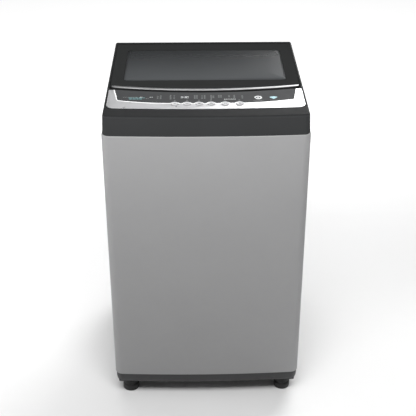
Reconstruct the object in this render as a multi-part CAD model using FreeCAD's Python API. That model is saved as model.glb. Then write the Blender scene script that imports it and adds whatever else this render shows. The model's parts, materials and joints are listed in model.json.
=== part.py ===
"""Top load washing machine, belt driven, with a hung tub and a pulsator wash plate.

Millimetres. +Z is up, the front is towards -Y, and the origin is on the floor under
the centre of the machine. One STEP file is written for each piece.
"""
import FreeCAD
import Part
import math
import os

V = FreeCAD.Vector
X_AXIS = V(1, 0, 0)
Y_AXIS = V(0, 1, 0)
Z_AXIS = V(0, 0, 1)

# Overall size
WIDTH = 560.0
FRONT_Y = -280.0
BACK_Y = 278.0
FRONT_BOW = 9.0
FRONT_CORNER_R = 22.0
BACK_CORNER_R = 12.0
CABINET_BOTTOM = 80.0
CABINET_TOP = 874.0
SHEET = 1.0
PLASTIC = 3.0

# Base and feet
SKIRT_BOTTOM = 47.0
SKIRT_TOP_INSET = 2.0
SKIRT_BOTTOM_INSET = 11.0
FOOT_X = 236.0
FOOT_Y = 232.0
FOOT_R = 25.0
STUD_R = 5.7
STUD_HOLE_R = 6.0

# Sloping top, measured along the slope from its front edge
TILT = 3.2
SLOPE_Y = -262.0
SLOPE_Z = 930.0
COVER_BOTTOM_INSET = 2.5
COVER_TOP_INSET = 7.0
COVER_LOFT_TOP = 1000.0
COVER_EDGE_R = 8.0
RECESS_DEPTH = 22.0
FASCIA_HALF = 268.0
FASCIA_FRONT = 37.0
FASCIA_BACK = 163.0
FASCIA_T = 2.0
FASCIA_EDGE = 3.0

# Lid
LID_HALF = 267.0
LID_FRONT = 152.5
LID_BACK = 520.5
LID_BOW = 26.0
LID_T = 20.0
LID_SKIN = 4.0
LID_GAP = 1.5
FINGER_GAP = 8.0
WINDOW_HALF = 231.0
WINDOW_FRONT = 227.0
WINDOW_BACK = 452.0
HINGE_DROP = 10.5
HINGE_V = 510.0
HINGE_PIN_R = 4.0
RUNNING_FIT = 0.1

# Mouth of the top cover
MOUTH_HALF = 200.0
MOUTH_FRONT_Y = -68.0
MOUTH_BACK_Y = 197.0
THROAT_BOTTOM = 848.0

# Push buttons, on the panel
BUTTON_X = (-84.0, -51.0, -18.5, 14.0, 52.0, 91.0)
BUTTON_V = 66.0
BUTTON_R = 10.2
BUTTON_HOLE_R = 10.8

# Tub, basket and drive, on one vertical axis
TUB_Y = 4.0
TUB_R = 248.0
TUB_BOTTOM = 190.0
TUB_TOP = 800.0
BASKET_R = 224.0
BASKET_BOTTOM = 222.0
BASKET_TOP = 775.0
BASKET_WALL = 1.0
BASKET_FLOOR_T = 2.0
RING_INNER_R = 186.0
RING_TOP = 812.0
HOLLOW_R = 17.0
SHAFT_R = 12.0
MOTOR_Y = TUB_Y + 165.0
BIG_PITCH_R = 90.0
SMALL_PITCH_R = 30.0
BELT_Z = 100.0
BELT_H = 8.0
BELT_T = 6.0
GROOVE_GAP = 0.3

# Suspension
ROD_X = 236.0
ROD_Y = 226.0
ROD_R = 3.0
ROD_TOP = 792.0
ROD_BOTTOM = 152.0
LUG_Z = 225.0
LUG_T = 12.0
SPRING_BOTTOM = 165.0
SPRING_R = 14.0

# Detergent drawer
DRAWER_X0 = -176.0
DRAWER_X1 = -74.0
DRAWER_BACK_Y = -170.0
DRAWER_Z0 = 865.0
DRAWER_Z1 = 905.0
DRAWER_WALL = 2.5

# Drain
DRAIN_X = 130.0
DRAIN_Y = -100.0
DRAIN_Z = 155.0
SPOUT_R = 14.0

CORNERS = ((1, 1), (-1, 1), (-1, -1), (1, -1))


def box(x0, y0, z0, x1, y1, z1):
    """A block between two corners."""
    return Part.makeBox(x1 - x0, y1 - y0, z1 - z0, V(x0, y0, z0))


def disc(r, z0, z1, x=0.0, y=TUB_Y):
    """An upright cylinder, on the tub's axis unless placed elsewhere."""
    return Part.makeCylinder(r, z1 - z0, V(x, y, z0), Z_AXIS)


def ring(r_out, r_in, z0, z1, x=0.0, y=TUB_Y):
    """An upright tube."""
    return disc(r_out, z0, z1, x, y).cut(disc(r_in, z0 - 1, z1 + 1, x, y))


def join(shapes):
    """One solid from pieces that overlap or touch."""
    first, rest = shapes[0], shapes[1:]
    return first.fuse(rest).removeSplitter()


def corner_group(make):
    """The same piece at each of the four corners, as separate solids."""
    return Part.makeCompound([make(sx, sy) for sx, sy in CORNERS])


def bowed_wire(half, front, back, bow, r_front, r_back, z):
    """Rectangle with round corners and a front edge that bows out by bow."""
    big_r = (half * half + bow * bow) / (2 * bow)
    centre = front + big_r
    cx = half - r_front
    cy = centre - math.sqrt((big_r - r_front) ** 2 - cx ** 2)
    scale = big_r / (big_r - r_front)
    tx = cx * scale
    ty = centre + (cy - centre) * scale
    angle = math.atan2(ty - cy, tx - cx) / 2
    mx = cx + r_front * math.cos(angle)
    my = cy + r_front * math.sin(angle)
    k = r_back * (1 - math.sqrt(0.5))
    points = {
        "side": V(half, cy, z), "rear": V(half, back - r_back, z),
        "rear_mid": V(half - k, back - k, z), "back": V(half - r_back, back, z),
        "front": V(tx, ty, z), "front_mid": V(mx, my, z),
    }
    left = {name: V(-p.x, p.y, z) for name, p in points.items()}
    edges = [
        Part.LineSegment(points["side"], points["rear"]),
        Part.Arc(points["rear"], points["rear_mid"], points["back"]),
        Part.LineSegment(points["back"], left["back"]),
        Part.Arc(left["back"], left["rear_mid"], left["rear"]),
        Part.LineSegment(left["rear"], left["side"]),
        Part.Arc(left["side"], left["front_mid"], left["front"]),
        Part.Arc(left["front"], V(0, front, z), points["front"]),
        Part.Arc(points["front"], points["front_mid"], points["side"]),
    ]
    return Part.Wire([edge.toShape() for edge in edges])


def bowed_block(half, front, back, bow, r_front, r_back, z0, z1):
    """Upright block on a bowed outline."""
    wire = bowed_wire(half, front, back, bow, r_front, r_back, z0)
    return Part.Face(wire).extrude(V(0, 0, z1 - z0))


def plan(inset, z):
    """The machine's plan outline, moved in by inset."""
    r_front = max(FRONT_CORNER_R - inset, 2.0)
    r_back = max(BACK_CORNER_R - inset, 2.0)
    return bowed_wire(WIDTH / 2 - inset, FRONT_Y + inset, BACK_Y - inset, FRONT_BOW, r_front, r_back, z)


def prism(inset, z0, z1):
    """Straight block on the plan outline."""
    return Part.Face(plan(inset, z0)).extrude(V(0, 0, z1 - z0))


def taper(inset0, z0, inset1, z1):
    """Block whose sides lean from one inset to another."""
    return Part.makeLoft([plan(inset0, z0), plan(inset1, z1)], True, True)


def on_slope(shape):
    """Lay a shape that was drawn flat on the sloping top."""
    placed = shape.copy()
    placed.rotate(V(0, 0, 0), X_AXIS, TILT)
    placed.translate(V(0, SLOPE_Y, SLOPE_Z))
    return placed


def above_slope(depth):
    """Everything above a plane that lies depth below the sloping top."""
    return on_slope(box(-400, -300, -depth, 400, 900, 300))


def rounded_box(x0, y0, z0, x1, y1, z1, r):
    """Block with round upright edges."""
    body = box(x0, y0, z0, x1, y1, z1)
    upright = [e for e in body.Edges if abs(e.tangentAt(e.FirstParameter).z) > 0.9]
    return body.makeFillet(r, upright)


def hexagon(across, z0, z1, x, y):
    """Hexagonal nut body."""
    r = across / math.sqrt(3)
    corners = [V(x + r * math.cos(math.radians(60 * i)), y + r * math.sin(math.radians(60 * i)), z0)
               for i in range(7)]
    return Part.Face(Part.makePolygon(corners)).extrude(V(0, 0, z1 - z0))


# ---------------------------------------------------------------- outer case

REAR_GAP_HALF = 262.0
CABINET_LIP = 13.0


def cabinet():
    """Steel wrap: front and both sides, with lips at the top, bottom and back."""
    wrap = prism(0, CABINET_BOTTOM, CABINET_TOP).cut(prism(SHEET, CABINET_BOTTOM - 1, CABINET_TOP + 1))
    lip = prism(0.5, CABINET_TOP - SHEET, CABINET_TOP).cut(prism(CABINET_LIP, 0, 1000))
    foot_lip = prism(0.5, CABINET_BOTTOM, CABINET_BOTTOM + SHEET).cut(prism(CABINET_LIP, 0, 1000))
    gap = box(-REAR_GAP_HALF, BACK_Y - 30, 0, REAR_GAP_HALF, BACK_Y + 1, 1000)
    return join([wrap, lip, foot_lip]).cut(gap).cut(rear_screws())


PANEL_Y = BACK_Y - SHEET
PANEL_HALF = 267.0
PANEL_Z0 = 90.0
PANEL_Z1 = 872.0
SCREW_X = 264.5
SCREW_Z = (110.0, 360.0, 610.0, 850.0)
DRAIN_HOLE_R = 32.0
GLAND_X = -200.0
GLAND_Z = 160.0
GLAND_R = 8.0


def rear_panel():
    """Flat back sheet with three stiffening ribs, a drain hole and a lead hole."""
    sheet = box(-PANEL_HALF, PANEL_Y - SHEET, PANEL_Z0, PANEL_HALF, PANEL_Y, PANEL_Z1)
    ribs = [box(x - 12, PANEL_Y - 5, 260, x + 12, PANEL_Y - SHEET / 2, 800) for x in (-130, 0, 130)]
    drain = Part.makeCylinder(DRAIN_HOLE_R, 20, V(DRAIN_X, PANEL_Y - 10, DRAIN_Z), Y_AXIS)
    lead = Part.makeCylinder(GLAND_R, 20, V(GLAND_X, PANEL_Y - 10, GLAND_Z), Y_AXIS)
    return join([sheet] + ribs).cut(drain).cut(lead).cut(rear_screws())


def rear_screws():
    """Screws that hold the back sheet to the cabinet's rear lips."""
    def screw(x, z):
        head = Part.makeCylinder(4.0, 2.0, V(x, BACK_Y, z), Y_AXIS)
        shank = Part.makeCylinder(1.8, 4.0, V(x, BACK_Y - 4, z), Y_AXIS)
        return head.fuse(shank).removeSplitter()
    return Part.makeCompound([screw(sx * SCREW_X, z) for sx in (-1, 1) for z in SCREW_Z])


def cord_gland():
    """Bushing where the mains lead enters."""
    body = Part.makeCylinder(GLAND_R, 8, V(GLAND_X, PANEL_Y - 7, GLAND_Z), Y_AXIS)
    collar = Part.makeCylinder(GLAND_R + 4, 2.5, V(GLAND_X, PANEL_Y, GLAND_Z), Y_AXIS)
    hole = Part.makeCylinder(4.0, 30, V(GLAND_X, PANEL_Y - 15, GLAND_Z), Y_AXIS)
    return body.fuse(collar).removeSplitter().cut(hole)


CORNER_BLOCK = 70.0
BASE_FLOOR_T = 4.0


def base_frame():
    """Plastic plinth: leaning skirt, inner rim and a block over each foot."""
    skirt = taper(SKIRT_BOTTOM_INSET, SKIRT_BOTTOM, SKIRT_TOP_INSET, CABINET_BOTTOM)
    inner = taper(SKIRT_BOTTOM_INSET + PLASTIC, SKIRT_BOTTOM - 0.01,
                  SKIRT_TOP_INSET + PLASTIC, CABINET_BOTTOM + 0.01)
    wall = skirt.cut(inner)
    rim = skirt.common(prism(0, CABINET_BOTTOM - BASE_FLOOR_T, CABINET_BOTTOM)).cut(prism(45, 0, 200))
    blocks = []
    for sx, sy in CORNERS:
        near = box(FOOT_X - CORNER_BLOCK / 2, FOOT_Y - CORNER_BLOCK / 2, SKIRT_BOTTOM,
                   FOOT_X + CORNER_BLOCK / 2, FOOT_Y + CORNER_BLOCK / 2, CABINET_BOTTOM)
        if sx < 0:
            near = near.mirror(V(0, 0, 0), X_AXIS)
        if sy < 0:
            near = near.mirror(V(0, 0, 0), Y_AXIS)
        blocks.append(near.common(skirt))
    body = join([wall, rim] + blocks)
    for sx, sy in CORNERS:
        body = body.cut(disc(STUD_HOLE_R, 0, 200, sx * FOOT_X, sy * FOOT_Y))
    return body


FOOT_TRAVEL = 8.0
FOOT_TREAD_R = 23.0
FOOT_TREAD_H = 5.0
FOOT_PAD_TOP = 31.0
NUT_Z = SKIRT_BOTTOM - 6.0
NUT_ACROSS = 19.0


def foot(sx, sy):
    """Rubber foot pad on a threaded stud."""
    x, y = sx * FOOT_X, sy * FOOT_Y
    tread = Part.makeCone(FOOT_TREAD_R, FOOT_R, FOOT_TREAD_H, V(x, y, 0), Z_AXIS)
    pad = disc(FOOT_R, FOOT_TREAD_H, FOOT_PAD_TOP, x, y)
    stud = disc(STUD_R, 20, CABINET_BOTTOM - FOOT_TRAVEL - 2, x, y)
    return join([tread, pad, stud])


def foot_nuts():
    """Lock nuts under the plinth, one on each stud."""
    def nut(sx, sy):
        x, y = sx * FOOT_X, sy * FOOT_Y
        return hexagon(NUT_ACROSS, NUT_Z, SKIRT_BOTTOM, x, y).cut(disc(STUD_HOLE_R, 0, 100, x, y))
    return corner_group(nut)


# ---------------------------------------------------------------- top cover

RECESS_FLOOR_T = 3.0
PANEL_SKIN = 3.0
REAR_RIM_DEPTH = 4.5
REAR_GAP = 4.0
PANEL_WALL_T = 18.0
WALL_V = LID_FRONT - FINGER_GAP
STRIKE_X = 235.0
STRIKE_V = 202.0


def lid_recess():
    """The pocket that the lid lies in, with room for fingers along its front."""
    pocket = bowed_block(LID_HALF + LID_GAP, WALL_V, LID_BACK + REAR_GAP, LID_BOW, 16, 4,
                         -RECESS_DEPTH, 40)
    rear = box(-LID_HALF - LID_GAP, LID_BACK - 20, -REAR_RIM_DEPTH, LID_HALF + LID_GAP, 700, 40)
    return on_slope(pocket.fuse(rear))


def cover_cavity():
    """Hollow under the top cover: high below the panel, lower below the lid."""
    inner = taper(COVER_BOTTOM_INSET + PLASTIC, CABINET_TOP - 0.01,
                  COVER_TOP_INSET + PLASTIC, COVER_LOFT_TOP)
    low = inner.cut(above_slope(RECESS_DEPTH + RECESS_FLOOR_T))
    high = inner.cut(above_slope(FASCIA_T + PANEL_SKIN))
    high = high.common(on_slope(box(-400, -300, -200, 400, WALL_V - PANEL_WALL_T, 100)))
    return low.fuse(high)


def throat(grow):
    """Block that fills the tub's mouth, made larger by grow."""
    tall = rounded_box(-MOUTH_HALF - grow, MOUTH_FRONT_Y - grow, THROAT_BOTTOM,
                       MOUTH_HALF + grow, MOUTH_BACK_Y + grow, COVER_LOFT_TOP, 30 + grow)
    return tall


def button_cutters():
    """Holes for the push buttons, through the panel."""
    return [on_slope(disc(BUTTON_HOLE_R, -20, 10, x, BUTTON_V)) for x in BUTTON_X]


def fascia_block(grow, z0, z1):
    """Block on the outline of the silver fascia."""
    plate = bowed_block(FASCIA_HALF + grow, FASCIA_FRONT - grow, FASCIA_BACK + grow, FRONT_BOW,
                        14, 4, z0, z1)
    behind = bowed_block(LID_HALF + LID_GAP, WALL_V - FASCIA_EDGE + grow, LID_BACK, LID_BOW,
                         16, 8, z0 - 1, z1 + 1)
    return plate.cut(behind)


VALVE_X = -190.0
INLET_Z = 892.0
INLET_R = 13.2
DRAWER_FRONT_Y = MOUTH_FRONT_Y - PLASTIC
DRAWER_PLATE_GROW = 5.0


def drawer_window():
    """Opening in the front wall of the mouth for the detergent drawer."""
    g = DRAWER_PLATE_GROW + 1.0
    return box(DRAWER_X0 - g, MOUTH_FRONT_Y - 12, DRAWER_Z0 - g,
               DRAWER_X1 + g, MOUTH_FRONT_Y + 5, DRAWER_Z1 + g)


def top_cover():
    """Dark plastic top: leaning band, sloping top, lid pocket and tub mouth."""
    body = taper(COVER_BOTTOM_INSET, CABINET_TOP, COVER_TOP_INSET, COVER_LOFT_TOP).cut(above_slope(0))
    rim = [e for e in body.Edges if min(v.Z for v in e.Vertexes) > SLOPE_Z - 5
           and max(v.Y for v in e.Vertexes) < BACK_Y - 20]
    body = body.makeFillet(COVER_EDGE_R, rim)
    body = body.cut(cover_cavity())
    wall = throat(PLASTIC).cut(above_slope(RECESS_DEPTH + 1))
    body = body.fuse(wall).removeSplitter()
    body = body.cut(lid_recess()).cut(throat(0)).cut(drawer_window())
    body = body.cut(on_slope(fascia_block(0, -FASCIA_T, 5)))
    for cutter in button_cutters():
        body = body.cut(cutter)
    body = body.cut(on_slope(box(STRIKE_X - 13, STRIKE_V - 10, -40, STRIKE_X + 13, STRIKE_V + 12, -10)))
    body = body.cut(Part.makeCylinder(INLET_R + 9, 30, V(VALVE_X, BACK_Y - 25, INLET_Z), Y_AXIS))
    return body.cut(hinge_pins())


def hinge_pins():
    """Two pins that the lid turns on."""
    def pin(sx):
        x0 = 246.0 if sx > 0 else -272.0
        return on_slope(Part.makeCylinder(HINGE_PIN_R, 26, V(x0, HINGE_V, -HINGE_DROP), X_AXIS))
    return Part.makeCompound([pin(-1), pin(1)])


# ---------------------------------------------------------------- control panel

OVERLAY_TOP_HALF = 254.0
OVERLAY_LOW_HALF = 240.0
OVERLAY_CORNER_V = 99.0
OVERLAY_FRONT_V = 70.0
LENS_X = -52.0
LENS_V = 112.0


def overlay_block(z0, z1):
    """Block on the outline of the dark panel: narrower and bowed towards the front."""
    bend = 14.0
    back = FASCIA_BACK - 1
    low_mid = OVERLAY_CORNER_V - 6
    edges = [
        Part.LineSegment(V(-OVERLAY_TOP_HALF, back, z0), V(OVERLAY_TOP_HALF, back, z0)),
        Part.LineSegment(V(OVERLAY_TOP_HALF, back, z0), V(OVERLAY_LOW_HALF + 4, OVERLAY_CORNER_V + 8, z0)),
        Part.Arc(V(OVERLAY_LOW_HALF + 4, OVERLAY_CORNER_V + 8, z0), V(OVERLAY_LOW_HALF, low_mid + 4, z0),
                 V(OVERLAY_LOW_HALF - bend, low_mid, z0)),
        Part.Arc(V(OVERLAY_LOW_HALF - bend, low_mid, z0), V(0, OVERLAY_FRONT_V, z0),
                 V(bend - OVERLAY_LOW_HALF, low_mid, z0)),
        Part.Arc(V(bend - OVERLAY_LOW_HALF, low_mid, z0), V(-OVERLAY_LOW_HALF, low_mid + 4, z0),
                 V(-OVERLAY_LOW_HALF - 4, OVERLAY_CORNER_V + 8, z0)),
        Part.LineSegment(V(-OVERLAY_LOW_HALF - 4, OVERLAY_CORNER_V + 8, z0), V(-OVERLAY_TOP_HALF, back, z0)),
    ]
    wire = Part.Wire([edge.toShape() for edge in edges])
    return Part.Face(wire).extrude(V(0, 0, z1 - z0))


def lens_block(z0, z1):
    """Block on the outline of the display lens."""
    return rounded_box(LENS_X - 18, LENS_V - 12, z0, LENS_X + 18, LENS_V + 12, z1, 3)


def cut_all(body, cutters):
    """Take each cutter away from a body."""
    for cutter in cutters:
        body = body.cut(cutter)
    return body


def control_fascia():
    """Silver frame around the dark panel."""
    plate = fascia_block(-0.2, -FASCIA_T, 0.2).cut(overlay_block(-10, 10))
    return cut_all(on_slope(plate), button_cutters())


def control_overlay():
    """Dark panel with the printed symbols."""
    plate = overlay_block(-FASCIA_T, 0.5).common(fascia_block(-0.2, -10, 10)).cut(lens_block(-10, 10))
    return cut_all(on_slope(plate), button_cutters())


def display_lens():
    """Tinted window over the display."""
    return on_slope(lens_block(-FASCIA_T, 0.6))


def button(x):
    """Round push button with a skirt and a stem to its switch."""
    cap = disc(BUTTON_R, -3.5, 3.2, x, BUTTON_V)
    cap = cap.makeFillet(1.2, [e for e in cap.Edges if e.BoundBox.ZMin > 3])
    stem = disc(3.0, -9.0, -3.5, x, BUTTON_V)
    return on_slope(cap.fuse(stem).removeSplitter())


def control_board():
    """Circuit board in its tray, with switches under the buttons."""
    tray = box(-66, 28, -31, 224, 122, -18).cut(box(-63, 31, -28, 221, 119, -17))
    board = box(-63, 31, -22, 221, 119, -20)
    relays = [box(x, 80, -20, x + 22, 104, -8) for x in (0, 40, 120, 170)]
    switches = [box(x - 4, BUTTON_V - 4, -20, x + 4, BUTTON_V + 4, -11.5) for x in BUTTON_X if x > -60]
    return on_slope(join([tray, board] + relays + switches))


# ---------------------------------------------------------------- lid

TRIM_T = 5.0
TRIM_HALF = 252.0
GLASS_T = 4.0
GLASS_DROP = 1.5
GLASS_LAP = 8.0
BOLT_Z = 28.0


def trim_block():
    """The bright bar along the lid's front edge."""
    outer = bowed_block(LID_HALF, LID_FRONT, LID_BACK, LID_BOW, 14, 8, -9, 0.8)
    inner = bowed_block(LID_HALF + 40, LID_FRONT + TRIM_T, LID_BACK + 60, LID_BOW * 1.32, 14, 8, -20, 5)
    return outer.cut(inner).common(box(-TRIM_HALF, 0, -30, TRIM_HALF, LID_FRONT + 60, 5))


def window_block(grow, z0, z1):
    """Block on the outline of the lid's window."""
    return rounded_box(-WINDOW_HALF - grow, WINDOW_FRONT - grow, z0,
                       WINDOW_HALF + grow, WINDOW_BACK + grow, z1, 12 + grow)


def lid_frame():
    """Dark frame of the lid: hollow below, round at the hinge, with a strike for the lock."""
    plate = bowed_block(LID_HALF, LID_FRONT, LID_BACK, LID_BOW, 14, 3, -LID_T, 0)
    hollow = bowed_block(LID_HALF - 4, LID_FRONT + 7, HINGE_V - 14, LID_BOW, 10, 6, -LID_T - 1, -LID_SKIN)
    body = plate.cut(hollow)
    collar = window_block(GLASS_LAP + 3, -11, -LID_SKIN / 2)
    body = body.fuse(collar).cut(window_block(GLASS_LAP, -GLASS_DROP - GLASS_T, -GLASS_DROP))
    body = body.cut(window_block(0, -30, 5))
    heel = box(-400, HINGE_V, -60, 400, 700, 60)
    roll = Part.makeCylinder(HINGE_DROP, 800, V(-400, HINGE_V, -HINGE_DROP), X_AXIS)
    body = body.cut(heel.cut(roll))
    bosses = [Part.makeCylinder(8, 24, V(x, HINGE_V, -HINGE_DROP), X_AXIS) for x in (-LID_HALF, LID_HALF - 24)]
    strike = box(STRIKE_X - 9, STRIKE_V - 2, -RECESS_DEPTH - 14, STRIKE_X + 9, STRIKE_V + 2, -LID_SKIN / 2)
    strike = strike.cut(box(STRIKE_X - 6, STRIKE_V - 3, -BOLT_Z - 5, STRIKE_X + 6, STRIKE_V + 3, -BOLT_Z + 5))
    body = body.fuse(bosses).fuse(strike).cut(trim_block())
    for x in (-LID_HALF - 1, LID_HALF - 25):
        body = body.cut(Part.makeCylinder(HINGE_PIN_R + RUNNING_FIT, 26, V(x, HINGE_V, -HINGE_DROP), X_AXIS))
    return on_slope(body)


def lid_trim():
    """Bright bar along the lid's front edge."""
    return on_slope(trim_block())


def lid_glass():
    """Smoked glass window, held in the frame from below."""
    return on_slope(window_block(GLASS_LAP - 0.5, -GLASS_DROP - GLASS_T, -GLASS_DROP))


LOCK_V0 = STRIKE_V + 16.0
LOCK_V1 = LOCK_V0 + 42.0
LOCK_TRAVEL = 12.0


def lid_lock_case():
    """Case of the lid lock, under the ledge beside the mouth."""
    case = box(STRIKE_X - 15, LOCK_V0, -48, STRIKE_X + 15, LOCK_V1, -RECESS_DEPTH - RECESS_FLOOR_T)
    slot = box(STRIKE_X - 4.4, LOCK_V0 - 1, -BOLT_Z - 3.4, STRIKE_X + 4.4, LOCK_V1 - 6, -BOLT_Z + 3.4)
    return on_slope(case.cut(slot))


def lid_lock_bolt():
    """Bolt that slides through the lid's strike."""
    return on_slope(box(STRIKE_X - 4, LOCK_V0 - 1, -BOLT_Z - 3, STRIKE_X + 4, LOCK_V0 + 28, -BOLT_Z + 3))


# ---------------------------------------------------------------- water inlet and drawer

def detergent_drawer():
    """Tray with a divider and a front plate; it slides out over the tub."""
    tray = box(DRAWER_X0, DRAWER_BACK_Y, DRAWER_Z0, DRAWER_X1, DRAWER_FRONT_Y, DRAWER_Z1 - 8)
    hole = box(DRAWER_X0 + DRAWER_WALL, DRAWER_BACK_Y + DRAWER_WALL, DRAWER_Z0 + DRAWER_WALL,
               DRAWER_X1 - DRAWER_WALL, DRAWER_FRONT_Y - DRAWER_WALL, DRAWER_Z1)
    middle = (DRAWER_X0 + DRAWER_X1) / 2 + 18
    divider = box(middle - 1, DRAWER_BACK_Y + 1, DRAWER_Z0 + 1, middle + 1, DRAWER_FRONT_Y - 1, DRAWER_Z1 - 14)
    g = DRAWER_PLATE_GROW
    plate = box(DRAWER_X0 - g, DRAWER_FRONT_Y, DRAWER_Z0 - g, DRAWER_X1 + g, MOUTH_FRONT_Y, DRAWER_Z1 + g)
    grip = box(middle - 40, DRAWER_FRONT_Y + 1, DRAWER_Z1 - 6, middle + 10, MOUTH_FRONT_Y + 1, DRAWER_Z1 - 1)
    return join([tray.cut(hole), divider, plate]).cut(grip)


def drawer_housing():
    """Sleeve that the drawer slides in, with the water inlet above it."""
    gap = 1.0
    wall = 2.0
    back = DRAWER_BACK_Y - gap
    front = MOUTH_FRONT_Y - 13
    outer = box(DRAWER_X0 - gap - wall, back - wall, DRAWER_Z0 - gap - wall,
                DRAWER_X1 + gap + wall, front, DRAWER_Z1 + gap + wall)
    inner = box(DRAWER_X0 - gap, back, DRAWER_Z0 - gap, DRAWER_X1 + gap, front + 1, DRAWER_Z1 + gap)
    return outer.cut(inner)


HOSE_X = -232.0
HOSE_R = 9.0
HOSE_END_Y = -120.0
HOSE_Z = 885.0


def pipe(points, r):
    """Bent pipe along straight runs, with a ball at each bend."""
    pieces = []
    for a, b in zip(points, points[1:]):
        run = b.sub(a)
        pieces.append(Part.makeCylinder(r, run.Length, a, run))
    for p in points[1:-1]:
        pieces.append(Part.makeSphere(r, p))
    return join(pieces)


def inlet_hose():
    """Hose from the valve to the drawer housing."""
    wall_x = DRAWER_X0 - 3.0
    points = [V(VALVE_X, 219, HOSE_Z), V(HOSE_X, 219, HOSE_Z), V(HOSE_X, HOSE_END_Y, HOSE_Z),
              V(wall_x, HOSE_END_Y, HOSE_Z)]
    return pipe(points, HOSE_R).cut(box(VALVE_X - 20, 150, 860, 0, 278, 930))


def inlet_valve():
    """Solenoid valve with its threaded water inlet at the back."""
    body = box(VALVE_X - 20, 205, 868, VALVE_X + 20, 245, 912)
    coil = box(VALVE_X + 20, 210, 872, VALVE_X + 48, 240, 906)
    stub = Part.makeCylinder(INLET_R, 35, V(VALVE_X, 243, INLET_Z), Y_AXIS)
    bore = Part.makeCylinder(9.0, 40, V(VALVE_X, 240, INLET_Z), Y_AXIS)
    return join([body, coil, stub]).cut(bore)


def level_sensor():
    """Pressure switch that reads the water level."""
    case = disc(28, 868, 890, 196, -190)
    port = disc(4, 856, 868, 196, -190)
    return case.fuse(port).removeSplitter()


# ---------------------------------------------------------------- tub

LUG_REACH = 348.0
TUB_COVER_IN_R = 203.0
SEAT_R = 40.0


def lug(sx, sy):
    """Arm from the tub to a suspension rod, with a clearance hole."""
    angle = math.degrees(math.atan2(sy * ROD_Y, sx * ROD_X))
    arm = box(TUB_R - 6, -24, LUG_Z, LUG_REACH - 16, 24, LUG_Z + LUG_T)
    web = box(TUB_R - 6, -3, LUG_Z, TUB_R + 46, 3, LUG_Z + 60)
    shape = arm.fuse(web)
    shape.rotate(V(0, 0, 0), Z_AXIS, angle)
    shape.translate(V(0, TUB_Y, 0))
    return shape.cut(disc(ROD_R + 2, 0, 900, sx * ROD_X, TUB_Y + sy * ROD_Y))


def outer_tub():
    """Water tub: wall, floor with a drain hole, top flange and four lugs."""
    wall = ring(TUB_R, TUB_R - PLASTIC, TUB_BOTTOM, TUB_TOP)
    floor = ring(TUB_R - 1, SEAT_R, TUB_BOTTOM, TUB_BOTTOM + 5)
    flange = ring(TUB_R + 5, TUB_R - PLASTIC, TUB_TOP - 4, TUB_TOP)
    body = join([wall, floor, flange] + [lug(sx, sy) for sx, sy in CORNERS])
    return body.cut(disc(18, 0, 200, DRAIN_X, DRAIN_Y))


def tub_cover():
    """Ring that closes the tub over the basket's edge."""
    outer = ring(TUB_R + 5, TUB_R - PLASTIC, TUB_TOP, TUB_TOP + 24)
    lid = ring(TUB_R + 5, TUB_COVER_IN_R, TUB_TOP + 21, TUB_TOP + 24)
    lip = ring(TUB_COVER_IN_R + 3, TUB_COVER_IN_R, TUB_TOP + 14, TUB_TOP + 24)
    return join([outer, lid, lip])


BEARING_R = 31.0
BEARING_Z = (124.0, 174.0)
BEARING_H = 12.0


def bearing_housing():
    """Cast housing under the tub that carries both bearings."""
    body = disc(58, 121, 165).fuse(disc(SEAT_R, 165, TUB_BOTTOM + 5))
    foot_ring = disc(90, 178, TUB_BOTTOM)
    body = body.fuse(foot_ring).removeSplitter()
    body = body.cut(disc(HOLLOW_R + 4, 0, 300))
    for z in BEARING_Z:
        body = body.cut(disc(BEARING_R, z, z + BEARING_H))
    return body.cut(disc(BEARING_R, BEARING_Z[1], 300))


def shaft_bearings():
    """Two ball bearings around the hollow shaft."""
    return Part.makeCompound([ring(BEARING_R, HOLLOW_R + 0.05, z, z + BEARING_H) for z in BEARING_Z])


def tub_seal():
    """Rubber seal above the upper bearing."""
    return ring(BEARING_R, HOLLOW_R + 0.3, BEARING_Z[1] + BEARING_H, TUB_BOTTOM + 5)


def motor_bracket():
    """Steel plate that joins the housing and the motor."""
    plate = rounded_box(-66, -90, 117, 66, MOTOR_Y + 72, 121, 20)
    return cut_all(plate, [disc(HOLLOW_R + 6, 0, 300), disc(12, 0, 300, 0, MOTOR_Y)])


def motor_case():
    """Induction motor on the bracket."""
    body = disc(60, 121, 184, 0, MOTOR_Y).fuse(disc(64, 140, 168, 0, MOTOR_Y)).removeSplitter()
    hollow = disc(50, 126, 179, 0, MOTOR_Y)
    return body.cut(hollow).cut(disc(9.05, 0, 300, 0, MOTOR_Y))


def drive_belt():
    """V belt around both pulleys."""
    def loop(gap):
        big = BIG_PITCH_R - BELT_T / 2 + gap
        small = SMALL_PITCH_R - BELT_T / 2 + gap
        reach = MOTOR_Y - TUB_Y
        sine = (big - small) / reach
        cosine = math.sqrt(1 - sine * sine)
        corners = [V(sx * big * cosine, TUB_Y + big * sine, BELT_Z) for sx in (-1, 1)]
        corners += [V(sx * small * cosine, MOTOR_Y + small * sine, BELT_Z) for sx in (1, -1)]
        corners.append(corners[0])
        sides = Part.Face(Part.makePolygon(corners)).extrude(V(0, 0, BELT_H))
        rounds = [disc(big, BELT_Z, BELT_Z + BELT_H), disc(small, BELT_Z, BELT_Z + BELT_H, 0, MOTOR_Y)]
        return sides.fuse(rounds).removeSplitter()
    return loop(BELT_T).cut(loop(GROOVE_GAP))


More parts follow.
